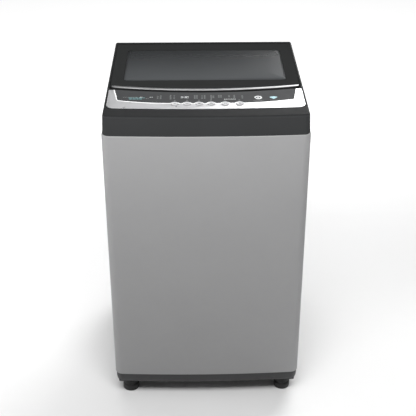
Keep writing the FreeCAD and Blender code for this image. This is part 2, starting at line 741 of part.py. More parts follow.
def drain_valve():
    """Drain valve under the tub, with its spout out of the back."""
    body = disc(22, DRAIN_Z - 22, TUB_BOTTOM, DRAIN_X, DRAIN_Y)
    body = body.fuse(box(DRAIN_X + 10, DRAIN_Y - 18, DRAIN_Z - 18, DRAIN_X + 62, DRAIN_Y + 18, DRAIN_Z + 14))
    spout = Part.makeCylinder(SPOUT_R, BACK_Y - DRAIN_Y, V(DRAIN_X, DRAIN_Y, DRAIN_Z), Y_AXIS)
    bead = Part.makeCylinder(SPOUT_R + 3, 4, V(DRAIN_X, BACK_Y - 32, DRAIN_Z), Y_AXIS)
    bore = Part.makeCylinder(SPOUT_R - 2.5, BACK_Y - DRAIN_Y + 1, V(DRAIN_X, DRAIN_Y, DRAIN_Z), Y_AXIS)
    return join([body, spout, bead]).cut(bore).cut(disc(15, DRAIN_Z, 300, DRAIN_X, DRAIN_Y))


# ---------------------------------------------------------------- suspension

def rod_hangers():
    """Brackets in the cabinet's upper corners that hold the rods."""
    def hanger(sx, sy):
        x, y = sx * ROD_X, TUB_Y + sy * ROD_Y
        plate = box(min(x - 22, x + 22), y - 22, ROD_TOP - 10, max(x - 22, x + 22), y + 22, ROD_TOP - 4)
        arm_x = (x, sx * (WIDTH / 2 - SHEET))
        arm = box(min(arm_x), y - 16, ROD_TOP - 34, max(arm_x), y + 16, ROD_TOP - 4)
        arm = arm.cut(box(min(arm_x) - 1, y - 14, ROD_TOP - 40, max(arm_x) - 2 * (sx > 0), y + 14, ROD_TOP - 10)
                      if sx > 0 else
                      box(min(arm_x) + 2, y - 14, ROD_TOP - 40, max(arm_x) + 1, y + 14, ROD_TOP - 10))
        return join([plate, arm]).cut(disc(ROD_R, 0, 900, x, y))
    return corner_group(hanger)


def suspension_rods():
    """Rods that hang the tub, each with a head and an end cap."""
    def rod(sx, sy):
        x, y = sx * ROD_X, TUB_Y + sy * ROD_Y
        head = disc(9, ROD_TOP - 4, ROD_TOP + 4, x, y)
        cap = disc(SPRING_R + 3, ROD_BOTTOM + 5, SPRING_BOTTOM, x, y)
        return join([disc(ROD_R, ROD_BOTTOM, ROD_TOP, x, y), head, cap])
    return corner_group(rod)


def suspension_springs():
    """Compression springs between the end caps and the lugs."""
    def spring(sx, sy):
        x, y = sx * ROD_X, TUB_Y + sy * ROD_Y
        return ring(SPRING_R, SPRING_R - 3, SPRING_BOTTOM, LUG_Z, x, y)
    return corner_group(spring)


# ---------------------------------------------------------------- basket and drive

def basket():
    """Wash basket: thin wall and a floor."""
    wall = ring(BASKET_R, BASKET_R - BASKET_WALL, BASKET_BOTTOM, BASKET_TOP)
    floor = ring(BASKET_R - BASKET_WALL / 2, HOLLOW_R, BASKET_BOTTOM, BASKET_BOTTOM + BASKET_FLOOR_T)
    return wall.fuse(floor).removeSplitter()


def balance_ring():
    """Hollow ring, part filled with brine, that steadies the spin."""
    outer = ring(BASKET_R + 3, RING_INNER_R, BASKET_TOP, RING_TOP)
    rounded = outer.makeFillet(6, [e for e in outer.Edges if e.BoundBox.ZMin > RING_TOP - 1])
    return rounded.cut(ring(BASKET_R, RING_INNER_R + 3, BASKET_TOP + 3, RING_TOP - 6))


def basket_hub():
    """Three-armed cast hub under the basket floor."""
    arms = []
    for i in range(3):
        arm = box(0, -22, BASKET_BOTTOM - 14, 170, 22, BASKET_BOTTOM)
        arm.rotate(V(0, 0, 0), Z_AXIS, 120 * i + 90)
        arm.translate(V(0, TUB_Y, 0))
        arms.append(arm)
    return join([disc(48, BASKET_BOTTOM - 18, BASKET_BOTTOM)] + arms).cut(disc(HOLLOW_R, 0, 400))


def hollow_shaft():
    """Outer shaft that turns the basket."""
    return ring(HOLLOW_R, SHAFT_R + RUNNING_FIT, 114.5, BASKET_BOTTOM + BASKET_FLOOR_T)


PULSATOR_R = 168.0
PULSATOR_Z = 230.0
VANE_COUNT = 6


def pulsator():
    """Wash plate with rounded vanes and a screw seat."""
    plate = disc(PULSATOR_R, PULSATOR_Z, PULSATOR_Z + 8)
    dome = Part.makeCone(70, 34, 26, V(0, TUB_Y, PULSATOR_Z + 6), Z_AXIS)
    vanes = []
    for i in range(VANE_COUNT):
        vane = rounded_box(30, -12, PULSATOR_Z + 4, PULSATOR_R - 12, 12, PULSATOR_Z + 26, 11)
        vane.rotate(V(0, 0, 0), Z_AXIS, 360.0 * i / VANE_COUNT)
        vane.translate(V(0, TUB_Y, 0))
        vanes.append(vane)
    body = join([plate, dome] + vanes)
    return body.cut(disc(SHAFT_R, 0, PULSATOR_Z + 20)).cut(disc(10, PULSATOR_Z + 24, 400)).cut(disc(5, 0, 400))


def pulsator_screw():
    """Screw that holds the pulsator on its shaft."""
    head = disc(9, PULSATOR_Z + 24, PULSATOR_Z + 29)
    shank = disc(5, PULSATOR_Z + 4, PULSATOR_Z + 24)
    return head.fuse(shank).removeSplitter()


def inner_shaft():
    """Shaft through the hollow shaft, from the big pulley to the pulsator."""
    return disc(SHAFT_R, BELT_Z - 12, PULSATOR_Z + 20).cut(disc(5, PULSATOR_Z + 4, 400))


def grooved_pulley(pitch_r, bore_r, y):
    """Pulley whose groove holds the belt."""
    floor_r = pitch_r - BELT_T / 2
    edge_r = pitch_r + BELT_T / 2 + 2
    body = disc(edge_r, BELT_Z - 4, BELT_Z + BELT_H + 4, 0, y)
    groove = ring(edge_r + 5, floor_r, BELT_Z - GROOVE_GAP, BELT_Z + BELT_H + GROOVE_GAP, 0, y)
    return body.cut(groove).cut(disc(bore_r, 0, 300, 0, y))


def drive_pulley():
    """Big pulley, dished and pierced to save weight."""
    body = grooved_pulley(BIG_PITCH_R, SHAFT_R, TUB_Y)
    body = body.cut(ring(BIG_PITCH_R - 16, 26, BELT_Z + 4, 200)).cut(ring(BIG_PITCH_R - 16, 26, 0, BELT_Z))
    holes = []
    for i in range(6):
        turn = math.radians(60 * i)
        holes.append(disc(13, 0, 200, 50 * math.cos(turn), TUB_Y + 50 * math.sin(turn)))
    return cut_all(body, holes)


def pulley_nut():
    """Nut under the big pulley."""
    return hexagon(30, BELT_Z - 12, BELT_Z - 4, 0, TUB_Y).cut(disc(SHAFT_R, 0, 300))


def motor_pulley():
    """Small pulley on the motor."""
    return grooved_pulley(SMALL_PITCH_R, 9.0, MOTOR_Y)


def motor_rotor():
    """Motor shaft with its rotor core."""
    return disc(9.0, BELT_Z - 6, 186, 0, MOTOR_Y).fuse(disc(40, 132, 174, 0, MOTOR_Y)).removeSplitter()


FILTER_X0 = 204.0
FILTER_X1 = 219.5


def lint_filter():
    """Clip-in lint filter on the basket wall: frame around a net bag."""
    frame = rounded_box(FILTER_X0, TUB_Y - 28, 470, FILTER_X1, TUB_Y + 28, 650, 5)
    return frame.cut(box(FILTER_X0 + 3, TUB_Y - 22, 480, FILTER_X1 - 3, TUB_Y + 22, 700))


# ---------------------------------------------------------------- all pieces

def all_pieces():
    """Every piece of the machine, by name."""
    pieces = {
        "cabinet": cabinet(), "rear_panel": rear_panel(), "rear_screws": rear_screws(),
        "cord_gland": cord_gland(), "base_frame": base_frame(), "foot_nuts": foot_nuts(),
        "top_cover": top_cover(), "hinge_pins": hinge_pins(),
        "control_fascia": control_fascia(), "control_overlay": control_overlay(),
        "display_lens": display_lens(), "control_board": control_board(),
        "lid_frame": lid_frame(), "lid_trim": lid_trim(), "lid_glass": lid_glass(),
        "lid_lock_case": lid_lock_case(), "lid_lock_bolt": lid_lock_bolt(),
        "detergent_drawer": detergent_drawer(), "drawer_housing": drawer_housing(),
        "inlet_hose": inlet_hose(), "inlet_valve": inlet_valve(), "level_sensor": level_sensor(),
        "outer_tub": outer_tub(), "tub_cover": tub_cover(), "bearing_housing": bearing_housing(),
        "shaft_bearings": shaft_bearings(), "tub_seal": tub_seal(), "motor_bracket": motor_bracket(),
        "motor_case": motor_case(), "drive_belt": drive_belt(), "drain_valve": drain_valve(),
        "rod_hangers": rod_hangers(), "suspension_rods": suspension_rods(),
        "suspension_springs": suspension_springs(), "basket": basket(),
        "balance_ring": balance_ring(), "basket_hub": basket_hub(), "hollow_shaft": hollow_shaft(),
        "pulsator": pulsator(), "pulsator_screw": pulsator_screw(), "inner_shaft": inner_shaft(),
        "drive_pulley": drive_pulley(), "pulley_nut": pulley_nut(), "motor_pulley": motor_pulley(),
        "motor_rotor": motor_rotor(), "lint_filter": lint_filter(),
    }
    for number, x in enumerate(BUTTON_X, start=1):
        pieces["button_%d" % number] = button(x)
    names = ("rear_right", "rear_left", "front_left", "front_right")
    for name, (sx, sy) in zip(names, CORNERS):
        pieces["foot_" + name] = foot(sx, sy)
    return pieces


def main():
    """Write one STEP file for each piece."""
    os.makedirs("parts", exist_ok=True)
    for name, shape in all_pieces().items():
        shape.exportStep("parts/%s.step" % name)
        print("%-20s solids %d valid %s volume %.0f" % (name, len(shape.Solids), shape.isValid(), shape.Volume))


main()
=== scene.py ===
"""Looks of the top load washing machine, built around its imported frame. Metres, +Z up, front towards -Y."""
import bpy
import bmesh
import json
import math
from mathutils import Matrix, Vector


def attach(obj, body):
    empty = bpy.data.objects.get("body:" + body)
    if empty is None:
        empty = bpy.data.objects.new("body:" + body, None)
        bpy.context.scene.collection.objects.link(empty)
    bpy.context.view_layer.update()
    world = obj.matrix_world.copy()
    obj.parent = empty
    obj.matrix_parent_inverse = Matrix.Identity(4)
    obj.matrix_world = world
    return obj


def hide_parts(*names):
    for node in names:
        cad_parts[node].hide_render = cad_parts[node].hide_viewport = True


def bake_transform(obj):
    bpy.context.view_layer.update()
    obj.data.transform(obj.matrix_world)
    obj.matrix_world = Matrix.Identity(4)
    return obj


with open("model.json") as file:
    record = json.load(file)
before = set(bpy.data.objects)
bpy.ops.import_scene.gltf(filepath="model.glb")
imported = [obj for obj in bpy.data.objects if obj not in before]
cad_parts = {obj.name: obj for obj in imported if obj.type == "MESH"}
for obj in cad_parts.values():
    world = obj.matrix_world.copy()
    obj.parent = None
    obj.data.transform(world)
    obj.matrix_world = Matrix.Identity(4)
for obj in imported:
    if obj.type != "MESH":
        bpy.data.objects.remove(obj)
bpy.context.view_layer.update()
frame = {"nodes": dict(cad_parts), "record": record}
MM = 0.001

# ---------------------------------------------------------------- driving sizes, in millimetres

SIDE_X = 280.0
FRONT_Y, BACK_Y = -280.0, 278.0
FRONT_BOW = 9.0
FRONT_CORNER_R, BACK_CORNER_R = 22.0, 12.0
CABINET_BOTTOM, CABINET_TOP = 80.0, 874.0
TILT = math.radians(3.2)
SLOPE_Y, SLOPE_Z = -262.0, 930.0
TUB_Y = 4.0
FOOT_X, FOOT_Y = 236.0, 232.0
STUB_X, STUB_Z = -190.0, 892.0
SPOUT_X, SPOUT_Z = 130.0, 155.0
LEAD_X, LEAD_Z = -200.0, 160.0
MOUTH_HALF, MOUTH_FRONT_Y, MOUTH_BACK_Y, MOUTH_R = 200.0, -68.0, 197.0, 30.0
DRAWER_X0, DRAWER_X1, DRAWER_Z0, DRAWER_Z1 = -176.0, -74.0, 865.0, 905.0

LID_HALF, LID_FRONT, LID_BOW = 267.0, 152.5, 26.0
WALL_V = LID_FRONT - 8.0
WINDOW_HALF, WINDOW_FRONT, WINDOW_BACK = 231.0, 227.0, 452.0
HINGE_V, HINGE_DROP = 510.0, 10.5
RECESS_BACK_V = 524.5
STRIKE_X, STRIKE_V = 235.0, 202.0
FASCIA_HALF, FASCIA_FRONT, FASCIA_BACK = 268.0, 37.0, 163.0
BUTTON_X = (-84.0, -51.0, -18.5, 14.0, 52.0, 91.0)
BUTTON_V, BUTTON_HOLE_R = 66.0, 10.8


# ---------------------------------------------------------------- outlines and mesh helpers

def arc(cx, cy, r, a0, a1, steps):
    """Points on an arc, both ends included; angles in degrees."""
    return [(cx + r * math.cos(math.radians(a0 + (a1 - a0) * i / steps)),
             cy + r * math.sin(math.radians(a0 + (a1 - a0) * i / steps))) for i in range(steps + 1)]


def bowed(half, front, back, bow, r_front, r_back, steps=8):
    """Rectangle with round corners and a front edge that bows out, anticlockwise from the right side."""
    big_r = (half * half + bow * bow) / (2 * bow)
    centre = front + big_r
    cx = half - r_front
    cy = centre - math.sqrt((big_r - r_front) ** 2 - cx * cx)
    lean = math.degrees(math.atan2(cy - centre, cx))
    right = arc(cx, cy, r_front, lean, 0, steps)
    rear = arc(half - r_back, back - r_back, r_back, 0, 90, steps)
    rear_left = [(-x, y) for x, y in reversed(rear)]
    left = [(-x, y) for x, y in reversed(right)]
    front_arc = arc(0, centre, big_r, -180 - lean, lean, 24)[1:-1]
    return right + rear + rear_left + left + front_arc


def plan(inset):
    """The machine's plan outline, moved in by inset."""
    return bowed(SIDE_X - inset, FRONT_Y + inset, BACK_Y - inset, FRONT_BOW,
                 max(FRONT_CORNER_R - inset, 2.0), max(BACK_CORNER_R - inset, 2.0))


def rounded_rect(x0, y0, x1, y1, r, steps=8):
    """Rectangle with round corners."""
    return (arc(x1 - r, y0 + r, r, -90, 0, steps) + arc(x1 - r, y1 - r, r, 0, 90, steps)
            + arc(x0 + r, y1 - r, r, 90, 180, steps) + arc(x0 + r, y0 + r, r, 180, 270, steps))


def on_slope(x, v, w=0.0):
    """A point on the sloping top: x across, v up the slope, w above it. Millimetres in, metres out."""
    y = SLOPE_Y + v * math.cos(TILT) - w * math.sin(TILT)
    z = SLOPE_Z + v * math.sin(TILT) + w * math.cos(TILT)
    return Vector((x, y, z)) * MM


def upright(x, y, z):
    """A point in the machine's own frame, from millimetres."""
    return Vector((x, y, z)) * MM


def add_mesh(name, verts, faces, smooth=35.0):
    """A mesh object from points in metres, smooth except across sharp edges."""
    mesh = bpy.data.meshes.new(name)
    mesh.from_pydata([tuple(v) for v in verts], [], faces)
    obj = bpy.data.objects.new(name, mesh)
    bpy.context.scene.collection.objects.link(obj)
    tidy_mesh(obj, smooth)
    return obj


WELD = 2e-6


def tidy_mesh(obj, smooth=35.0):
    """Weld doubles, make normals agree and smooth all but sharp edges."""
    bm = bmesh.new()
    bm.from_mesh(obj.data)
    bmesh.ops.remove_doubles(bm, verts=bm.verts, dist=WELD)
    bmesh.ops.recalc_face_normals(bm, faces=bm.faces)
    limit = math.radians(smooth)
    for face in bm.faces:
        face.smooth = True
    for edge in bm.edges:
        edge.smooth = len(edge.link_faces) == 2 and edge.calc_face_angle(0.0) < limit
    bm.to_mesh(obj.data)
    bm.free()


def skin(name, rings, closed=True, caps=(False, False), smooth=35.0):
    """Faces between rings of equal length; rings hold points in metres."""
    verts = [p for ring in rings for p in ring]
    n = len(rings[0])
    faces = []
    for k in range(len(rings) - 1):
        for i in range(n if closed else n - 1):
            j = (i + 1) % n
            faces.append((k * n + i, k * n + j, (k + 1) * n + j, (k + 1) * n + i))
    if caps[0]:
        faces.append(tuple(range(n - 1, -1, -1)))
    if caps[1]:
        faces.append(tuple(range((len(rings) - 1) * n, len(rings) * n)))
    return add_mesh(name, verts, faces, smooth)


def lathe(name, profile, x=0.0, y=TUB_Y, steps=96, smooth=35.0):
    """A turned piece: profile is a closed loop of (radius, height) in millimetres."""
    rings = []
    for i in range(steps):
        a = 2 * math.pi * i / steps
        rings.append([upright(x + r * math.cos(a), y + r * math.sin(a), z) for r, z in profile])
    rings.append(rings[0])
    return skin(name, rings, True, smooth=smooth)


PLATE_SMOOTH = 12.0


def plate(name, loops, low, high, bevel=0.5, place=on_slope, segments=2):
    """Flat plate on 2-D loops (the first is the outside, the rest are holes), with rounded edges."""
    curve = bpy.data.curves.new(name, "CURVE")
    curve.dimensions = "2D"
    curve.fill_mode = "BOTH"
    curve.extrude = (high - low) / 2 - bevel
    curve.bevel_depth = bevel
    curve.bevel_resolution = segments
    curve.offset = -bevel
    for loop in loops:
        spline = curve.splines.new("POLY")
        spline.points.add(len(loop) - 1)
        for point, (px, py) in zip(spline.points, loop):
            point.co = (px, py, 0, 1)
        spline.use_cyclic_u = True
    temp = bpy.data.objects.new(name + "_curve", curve)
    bpy.context.scene.collection.objects.link(temp)
    depsgraph = bpy.context.evaluated_depsgraph_get()
    mesh = bpy.data.meshes.new_from_object(temp.evaluated_get(depsgraph))
    bpy.data.objects.remove(temp)
    middle = (high + low) / 2
    for v in mesh.vertices:
        v.co = place(v.co.x, v.co.y, v.co.z + middle)
    mesh.name = name
    obj = bpy.data.objects.new(name, mesh)
    bpy.context.scene.collection.objects.link(obj)
    tidy_mesh(obj, PLATE_SMOOTH)
    return obj


def merge(name, pieces):
    """Join mesh objects into one."""
    bm = bmesh.new()
    for piece in pieces:
        bm.from_mesh(piece.data)
        bpy.data.objects.remove(piece)
    mesh = bpy.data.meshes.new(name)
    bm.to_mesh(mesh)
    bm.free()
    obj = bpy.data.objects.new(name, mesh)
    bpy.context.scene.collection.objects.link(obj)
    return obj


def fit_out(obj, body, slot, material, *nodes):
    """Give a piece its material and its body, and hide the CAD nodes that it stands for."""
    obj.data.materials.clear()
    obj.data.materials.append(material)
    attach(obj, body)
    if nodes:
        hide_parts(*nodes)
    return obj


# ---------------------------------------------------------------- materials

def new_material(name):
    """An empty node material with its shader and object coordinates."""
    material = bpy.data.materials.new(name)
    material.use_nodes = True
    tree = material.node_tree
    shader = tree.nodes["Principled BSDF"]
    coords = tree.nodes.new("ShaderNodeTexCoord")
    return material, tree, shader, coords.outputs["Object"]


def noise(tree, coords, scale, detail=3.0, stretch=None):
    """Noise over object coordinates; stretch draws it out along an axis."""
    if stretch:
        mapping = tree.nodes.new("ShaderNodeMapping")
        mapping.inputs["Scale"].default_value = stretch
        tree.links.new(coords, mapping.inputs["Vector"])
        coords = mapping.outputs["Vector"]
    node = tree.nodes.new("ShaderNodeTexNoise")
    node.inputs["Scale"].default_value = scale
    node.inputs["Detail"].default_value = detail
    tree.links.new(coords, node.inputs["Vector"])
    return node.outputs["Fac"]


def spread(tree, value, low, high):
    """Map a 0-1 value to a range."""
    node = tree.nodes.new("ShaderNodeMapRange")
    node.inputs["From Min"].default_value = 0.3
    node.inputs["From Max"].default_value = 0.7
    node.inputs["To Min"].default_value = low
    node.inputs["To Max"].default_value = high
    tree.links.new(value, node.inputs["Value"])
    return node.outputs["Result"]


def tint(tree, value, dark, light):
    """Mix two colours by a 0-1 value."""
    node = tree.nodes.new("ShaderNodeMix")
    node.data_type = "RGBA"
    node.inputs["A"].default_value = (*dark, 1)
    node.inputs["B"].default_value = (*light, 1)
    tree.links.new(value, node.inputs["Factor"])
    return node.outputs["Result"]


def ramp(tree, value, low, high, top):
    """A smooth step of a value, from nothing at low to top at high."""
    node = tree.nodes.new("ShaderNodeMapRange")
    node.interpolation_type = "SMOOTHSTEP"
    node.inputs["From Min"].default_value = low
    node.inputs["From Max"].default_value = high
    node.inputs["To Max"].default_value = top
    tree.links.new(value, node.inputs["Value"])
    return node.outputs["Result"]


def shade_up(tree, color, keep):
    """Painted shade: darken a colour on the faces that point up, standing in for less light on the top; keep
    is what is left of it there.
    """
    facing = tree.nodes.new("ShaderNodeTexCoord")
    split = tree.nodes.new("ShaderNodeSeparateXYZ")
    tree.links.new(facing.outputs["Normal"], split.inputs[0])
    up = ramp(tree, split.outputs["Z"], 0.3, 0.9, keep - 1.0)
    left = tree.nodes.new("ShaderNodeMath")
    left.operation = "ADD"
    left.inputs[0].default_value = 1.0
    tree.links.new(up, left.inputs[1])
    scaled = tree.nodes.new("ShaderNodeVectorMath")
    scaled.operation = "SCALE"
    tree.links.new(color, scaled.inputs["Vector"])
    tree.links.new(left.outputs["Value"], scaled.inputs["Scale"])
    return scaled.outputs["Vector"]


def finish(name, color, rough, metal=0.0, grain=900.0, depth=0.1, mottle=0.05, rough_span=0.05,
           coat=0.0, stretch=None, blotch=9.0, sheen=0.0, shine=0.5, painted_top_shade_keep=1.0):
    """A moulded, painted or metal surface: mottled colour, uneven gloss, a fine grain and, if asked for,
    painted shade on the faces that point up.
    """
    material, tree, shader, coords = new_material(name)
    dark = tuple(c * (1 - mottle) for c in color)
    light = tuple(min(c * (1 + mottle), 1.0) for c in color)
    mixed = tint(tree, noise(tree, coords, blotch), dark, light)
    # Painted shade on the faces that point up, when asked for.
    if painted_top_shade_keep < 1.0:
        mixed = shade_up(tree, mixed, painted_top_shade_keep)
    tree.links.new(mixed, shader.inputs["Base Color"])
    fine = noise(tree, coords, grain, 2.0, stretch)
    tree.links.new(spread(tree, noise(tree, coords, blotch * 6, 4.0, stretch), rough - rough_span,
                          rough + rough_span), shader.inputs["Roughness"])
    bump = tree.nodes.new("ShaderNodeBump")
    bump.inputs["Strength"].default_value = depth
    bump.inputs["Distance"].default_value = 0.0004
    tree.links.new(fine, bump.inputs["Height"])
    tree.links.new(bump.outputs["Normal"], shader.inputs["Normal"])
    shader.inputs["Metallic"].default_value = metal
    shader.inputs["Coat Weight"].default_value = coat
    shader.inputs["Coat Roughness"].default_value = 0.12
    shader.inputs["Sheen Weight"].default_value = sheen
    shader.inputs["Specular IOR Level"].default_value = shine
    return material


# Painted shading of the glass: its colour goes from dark at the hinge to pale at the front.
GLASS_SHADE_Y, GLASS_LIT_Y = 0.19, -0.03
GLASS_SHADE_SHARE, GLASS_LIT_SHARE = 0.4, 1.1
GLASS_ALPHA = 0.88


def smoked_glass():
    """Tinted glass that shows the tub mouth dimly, with painted shading: darker towards the hinge, paler
    towards the front.
    """
    material, tree, shader, coords = new_material("smoked_glass")
    shade = tint(tree, noise(tree, coords, 5.0), (0.04, 0.042, 0.044), (0.05, 0.053, 0.055))
    split = tree.nodes.new("ShaderNodeSeparateXYZ")
    tree.links.new(coords, split.inputs[0])
    shaded_tint = tree.nodes.new("ShaderNodeVectorMath")
    shaded_tint.operation = "SCALE"
    tree.links.new(shade, shaded_tint.inputs["Vector"])
    # Painted shading: the glass colour is scaled by depth, dark at the hinge and pale at the front.
    painted_shade = tree.nodes.new("ShaderNodeMapRange")
    painted_shade.inputs["From Min"].default_value = GLASS_SHADE_Y
    painted_shade.inputs["From Max"].default_value = GLASS_LIT_Y
    painted_shade.inputs["To Min"].default_value = GLASS_SHADE_SHARE
    painted_shade.inputs["To Max"].default_value = GLASS_LIT_SHARE
    tree.links.new(split.outputs["Y"], painted_shade.inputs["Value"])
    tree.links.new(painted_shade.outputs["Result"], shaded_tint.inputs["Scale"])
    tree.links.new(shaded_tint.outputs["Vector"], shader.inputs["Base Color"])
    tree.links.new(spread(tree, noise(tree, coords, 30.0), 0.3, 0.36), shader.inputs["Roughness"])
    shader.inputs["Alpha"].default_value = GLASS_ALPHA
    shader.inputs["Specular IOR Level"].default_value = 0.01
    return material


PAINT = finish("silver_paint", (0.308, 0.308, 0.311), 0.5, 0.1, 2600, 0.06, 0.03, coat=0.08)
ZINC = finish("zinc_sheet", (0.42, 0.42, 0.43), 0.5, 0.7, 300, 0.05, 0.14, blotch=45)
SCREW = finish("zinc_screws", (0.5, 0.5, 0.5), 0.35, 0.95, 900, 0.05, 0.08)
BASE = finish("base_plastic", (0.032, 0.032, 0.034), 0.5, 0.0, 1500, 0.25, 0.08)
# The cover's colour carries painted shade: it keeps 42 per cent where its faces point up.
COVER = finish("cover_plastic", (0.039, 0.040, 0.041), 0.5, 0.0, 1800, 0.12, 0.06,
               shine=0.015, painted_top_shade_keep=0.42)
LID = finish("lid_plastic", (0.0165, 0.017, 0.017), 0.5, 0.0, 1800, 0.05, 0.05, shine=0.0)
SILVER = finish("panel_silver", (0.53, 0.53, 0.54), 0.32, 0.75, 2600, 0.05, 0.03, coat=0.15)
DARK = finish("panel_film", (0.036, 0.037, 0.038), 0.5, 0.0, 2200, 0.04, 0.04, shine=0.015)
LENS = finish("display_window", (0.036, 0.036, 0.038), 0.45, 0.0, 900, 0.01, 0.05, shine=0.015)
BUTTON = finish("button_silver", (0.34, 0.34, 0.345), 0.5, 0.0, 1200, 0.04, 0.03, shine=0.3)
CHROME = finish("bright_bar", (0.22, 0.22, 0.223), 0.32, 0.75, 500, 0.02, 0.02, 0.04)
WHITE = finish("white_plastic", (0.66, 0.67, 0.67), 0.45, 0.0, 900, 0.08, 0.04)
GREY = finish("grey_plastic", (0.36, 0.37, 0.38), 0.45, 0.0, 900, 0.1, 0.05)
TUB = finish("tub_plastic", (0.5, 0.51, 0.51), 0.5, 0.0, 700, 0.12, 0.06)
BOARD = finish("circuit_board", (0.03, 0.13, 0.06), 0.5, 0.0, 350, 0.5, 0.25, blotch=120)
STAINLESS = finish("stainless", (0.58, 0.58, 0.59), 0.3, 1.0, 260, 0.08, 0.04, stretch=(1, 1, 0.03))
STEEL = finish("turned_steel", (0.45, 0.45, 0.46), 0.32, 1.0, 300, 0.06, 0.06, stretch=(1, 1, 12))
CAST = finish("cast_alloy", (0.46, 0.46, 0.47), 0.55, 0.85, 420, 0.4, 0.08)
RUBBER = finish("black_rubber", (0.004, 0.004, 0.0043), 0.6, 0.0, 1400, 0.3, 0.12, sheen=0.1)
MOTOR = finish("motor_enamel", (0.10, 0.10, 0.105), 0.45, 0.2, 500, 0.15, 0.08)
PRINT = finish("white_print", (0.42, 0.43, 0.43), 0.5, 0.0, 900, 0.02, 0.03)
PRINT_DIM = finish("grey_print", (0.11, 0.115, 0.115), 0.5, 0.0, 900, 0.02, 0.05)
PRINT_BLUE = finish("blue_print", (0.25, 0.42, 0.47), 0.5, 0.0, 900, 0.02, 0.05)
PRINT_TEAL = finish("teal_print", (0.05, 0.13, 0.135), 0.5, 0.0, 900, 0.02, 0.05)
# Near-white colour for the bead along the panel film's edge: a painted highlight.
EDGE_HIGHLIGHT = finish("painted_edge_highlight", (0.86, 0.86, 0.86), 0.35, 0.2, 900, 0.02, 0.02)
GLOW = finish("display_print", (0.66, 0.68, 0.68), 0.5, 0.0, 900, 0.02, 0.03)
MARK = finish("button_print", (0.10, 0.10, 0.10), 0.5, 0.0, 900, 0.02, 0.05)
BORDER = finish("window_border", (0.015, 0.016, 0.016), 0.4, 0.0, 900, 0.02, 0.05)
GLASS = smoked_glass()

SLOT_MATERIAL = {
    "cabinet_paint": PAINT, "rear_steel": ZINC, "screw_steel": SCREW, "base_plastic": BASE,
    "cover_plastic": COVER, "lid_plastic": LID, "panel_silver": SILVER, "panel_dark": DARK,
    "lens_dark": LENS, "button_silver": BUTTON, "chrome": CHROME, "smoked_glass": GLASS,
    "white_plastic": WHITE, "grey_plastic": GREY, "tub_plastic": TUB, "board_green": BOARD,
    "stainless": STAINLESS, "steel": STEEL, "cast_alloy": CAST, "black_rubber": RUBBER,
    "motor_paint": MOTOR,
}
for part in frame["record"]["subparts"]:
    node = frame["nodes"][part["node"]]
    node.data.materials.clear()
    node.data.materials.append(SLOT_MATERIAL[part["material_slot"]])


# ---------------------------------------------------------------- camera, floor and lights

CAMERA_PLACE = Vector((-0.03627, -2.43139, 1.8313))
CAMERA_PITCH = 28.538
CAMERA_YAW = 1.069
LENS_MM = 77.006


def make_camera():
    """The camera, above and in front of the machine."""
    data = bpy.data.cameras.new("camera")
    data.sensor_width = 36.0
    data.lens = LENS_MM
    camera = bpy.data.objects.new("camera", data)
    camera.location = CAMERA_PLACE
    camera.rotation_euler = (math.radians(90 - CAMERA_PITCH), 0, math.radians(-CAMERA_YAW))
    bpy.context.scene.collection.objects.link(camera)
    bpy.context.scene.camera = camera


def area_light(name, place, target, size, power, spread=180.0):
    """A soft square light that faces a target."""
    data = bpy.data.lights.new(name, "AREA")
    data.shape = "RECTANGLE"
    data.size, data.size_y = size
    data.energy = power
    data.spread = math.radians(spread)
    light = bpy.data.objects.new(name, data)
    light.location = place
    light.rotation_euler = (Vector(target) - Vector(place)).to_track_quat("-Z", "Y").to_euler()
    light.visible_camera = False
    bpy.context.scene.collection.objects.link(light)
    return light


FLOOR_HALF, FLOOR_GLOW = 14.0, 0.75
GLOW_BEHIND, GLOW_AROUND = (0.3, 2.2), (1.5, 3.0)
BACKDROP_R, BACKDROP_LOW, BACKDROP_HIGH, BACKDROP_GLOW = 13.5, -0.1, 12.0, 0.95


def make_floor():
    """Pale floor, whiter away from the machine."""
    half = FLOOR_HALF
    floor = add_mesh("floor", [(-half, -half, 0), (half, -half, 0), (half, half, 0), (-half, half, 0)],
                     [(0, 1, 2, 3)])
    material, tree, shader, coords = new_material("pale_floor")
    shader.inputs["Base Color"].default_value = (0.82, 0.82, 0.82, 1)
    shader.inputs["Roughness"].default_value = 0.75
    shader.inputs["Specular IOR Level"].default_value = 0.1
    shader.inputs["Emission Color"].default_value = (1, 1, 1, 1)
    split = tree.nodes.new("ShaderNodeSeparateXYZ")
    tree.links.new(coords, split.inputs[0])
    behind = ramp(tree, split.outputs["Y"], *GLOW_BEHIND, FLOOR_GLOW)
    length = tree.nodes.new("ShaderNodeVectorMath")
    length.operation = "LENGTH"
    tree.links.new(coords, length.inputs[0])
    around = ramp(tree, length.outputs["Value"], *GLOW_AROUND, FLOOR_GLOW)
    both = tree.nodes.new("ShaderNodeMath")
    both.operation = "MAXIMUM"
    tree.links.new(around, both.inputs[0])
    tree.links.new(behind, both.inputs[1])
    tree.links.new(both.outputs["Value"], shader.inputs["Emission Strength"])
    floor.data.materials.append(material)


def make_backdrop():
    """Pale wall far away all round, which only the camera sees."""
    steps = 48
    verts = []
    for z in (BACKDROP_LOW, BACKDROP_HIGH):
        for i in range(steps):
            a = 2 * math.pi * i / steps
            verts.append((BACKDROP_R * math.cos(a), BACKDROP_R * math.sin(a), z))
    faces = [(i, (i + 1) % steps, steps + (i + 1) % steps, steps + i) for i in range(steps)]
    wall = add_mesh("backdrop", verts, faces)
    material, _, shader, _ = new_material("pale_wall")
    shader.inputs["Base Color"].default_value = (0.8, 0.8, 0.8, 1)
    shader.inputs["Roughness"].default_value = 0.9
    shader.inputs["Emission Color"].default_value = (1, 1, 1, 1)
    shader.inputs["Emission Strength"].default_value = BACKDROP_GLOW
    wall.data.materials.append(material)
    wall.visible_diffuse = False
    wall.visible_glossy = False
    wall.visible_transmission = False
    wall.visible_shadow = False


WORLD_GLOW = 0.13


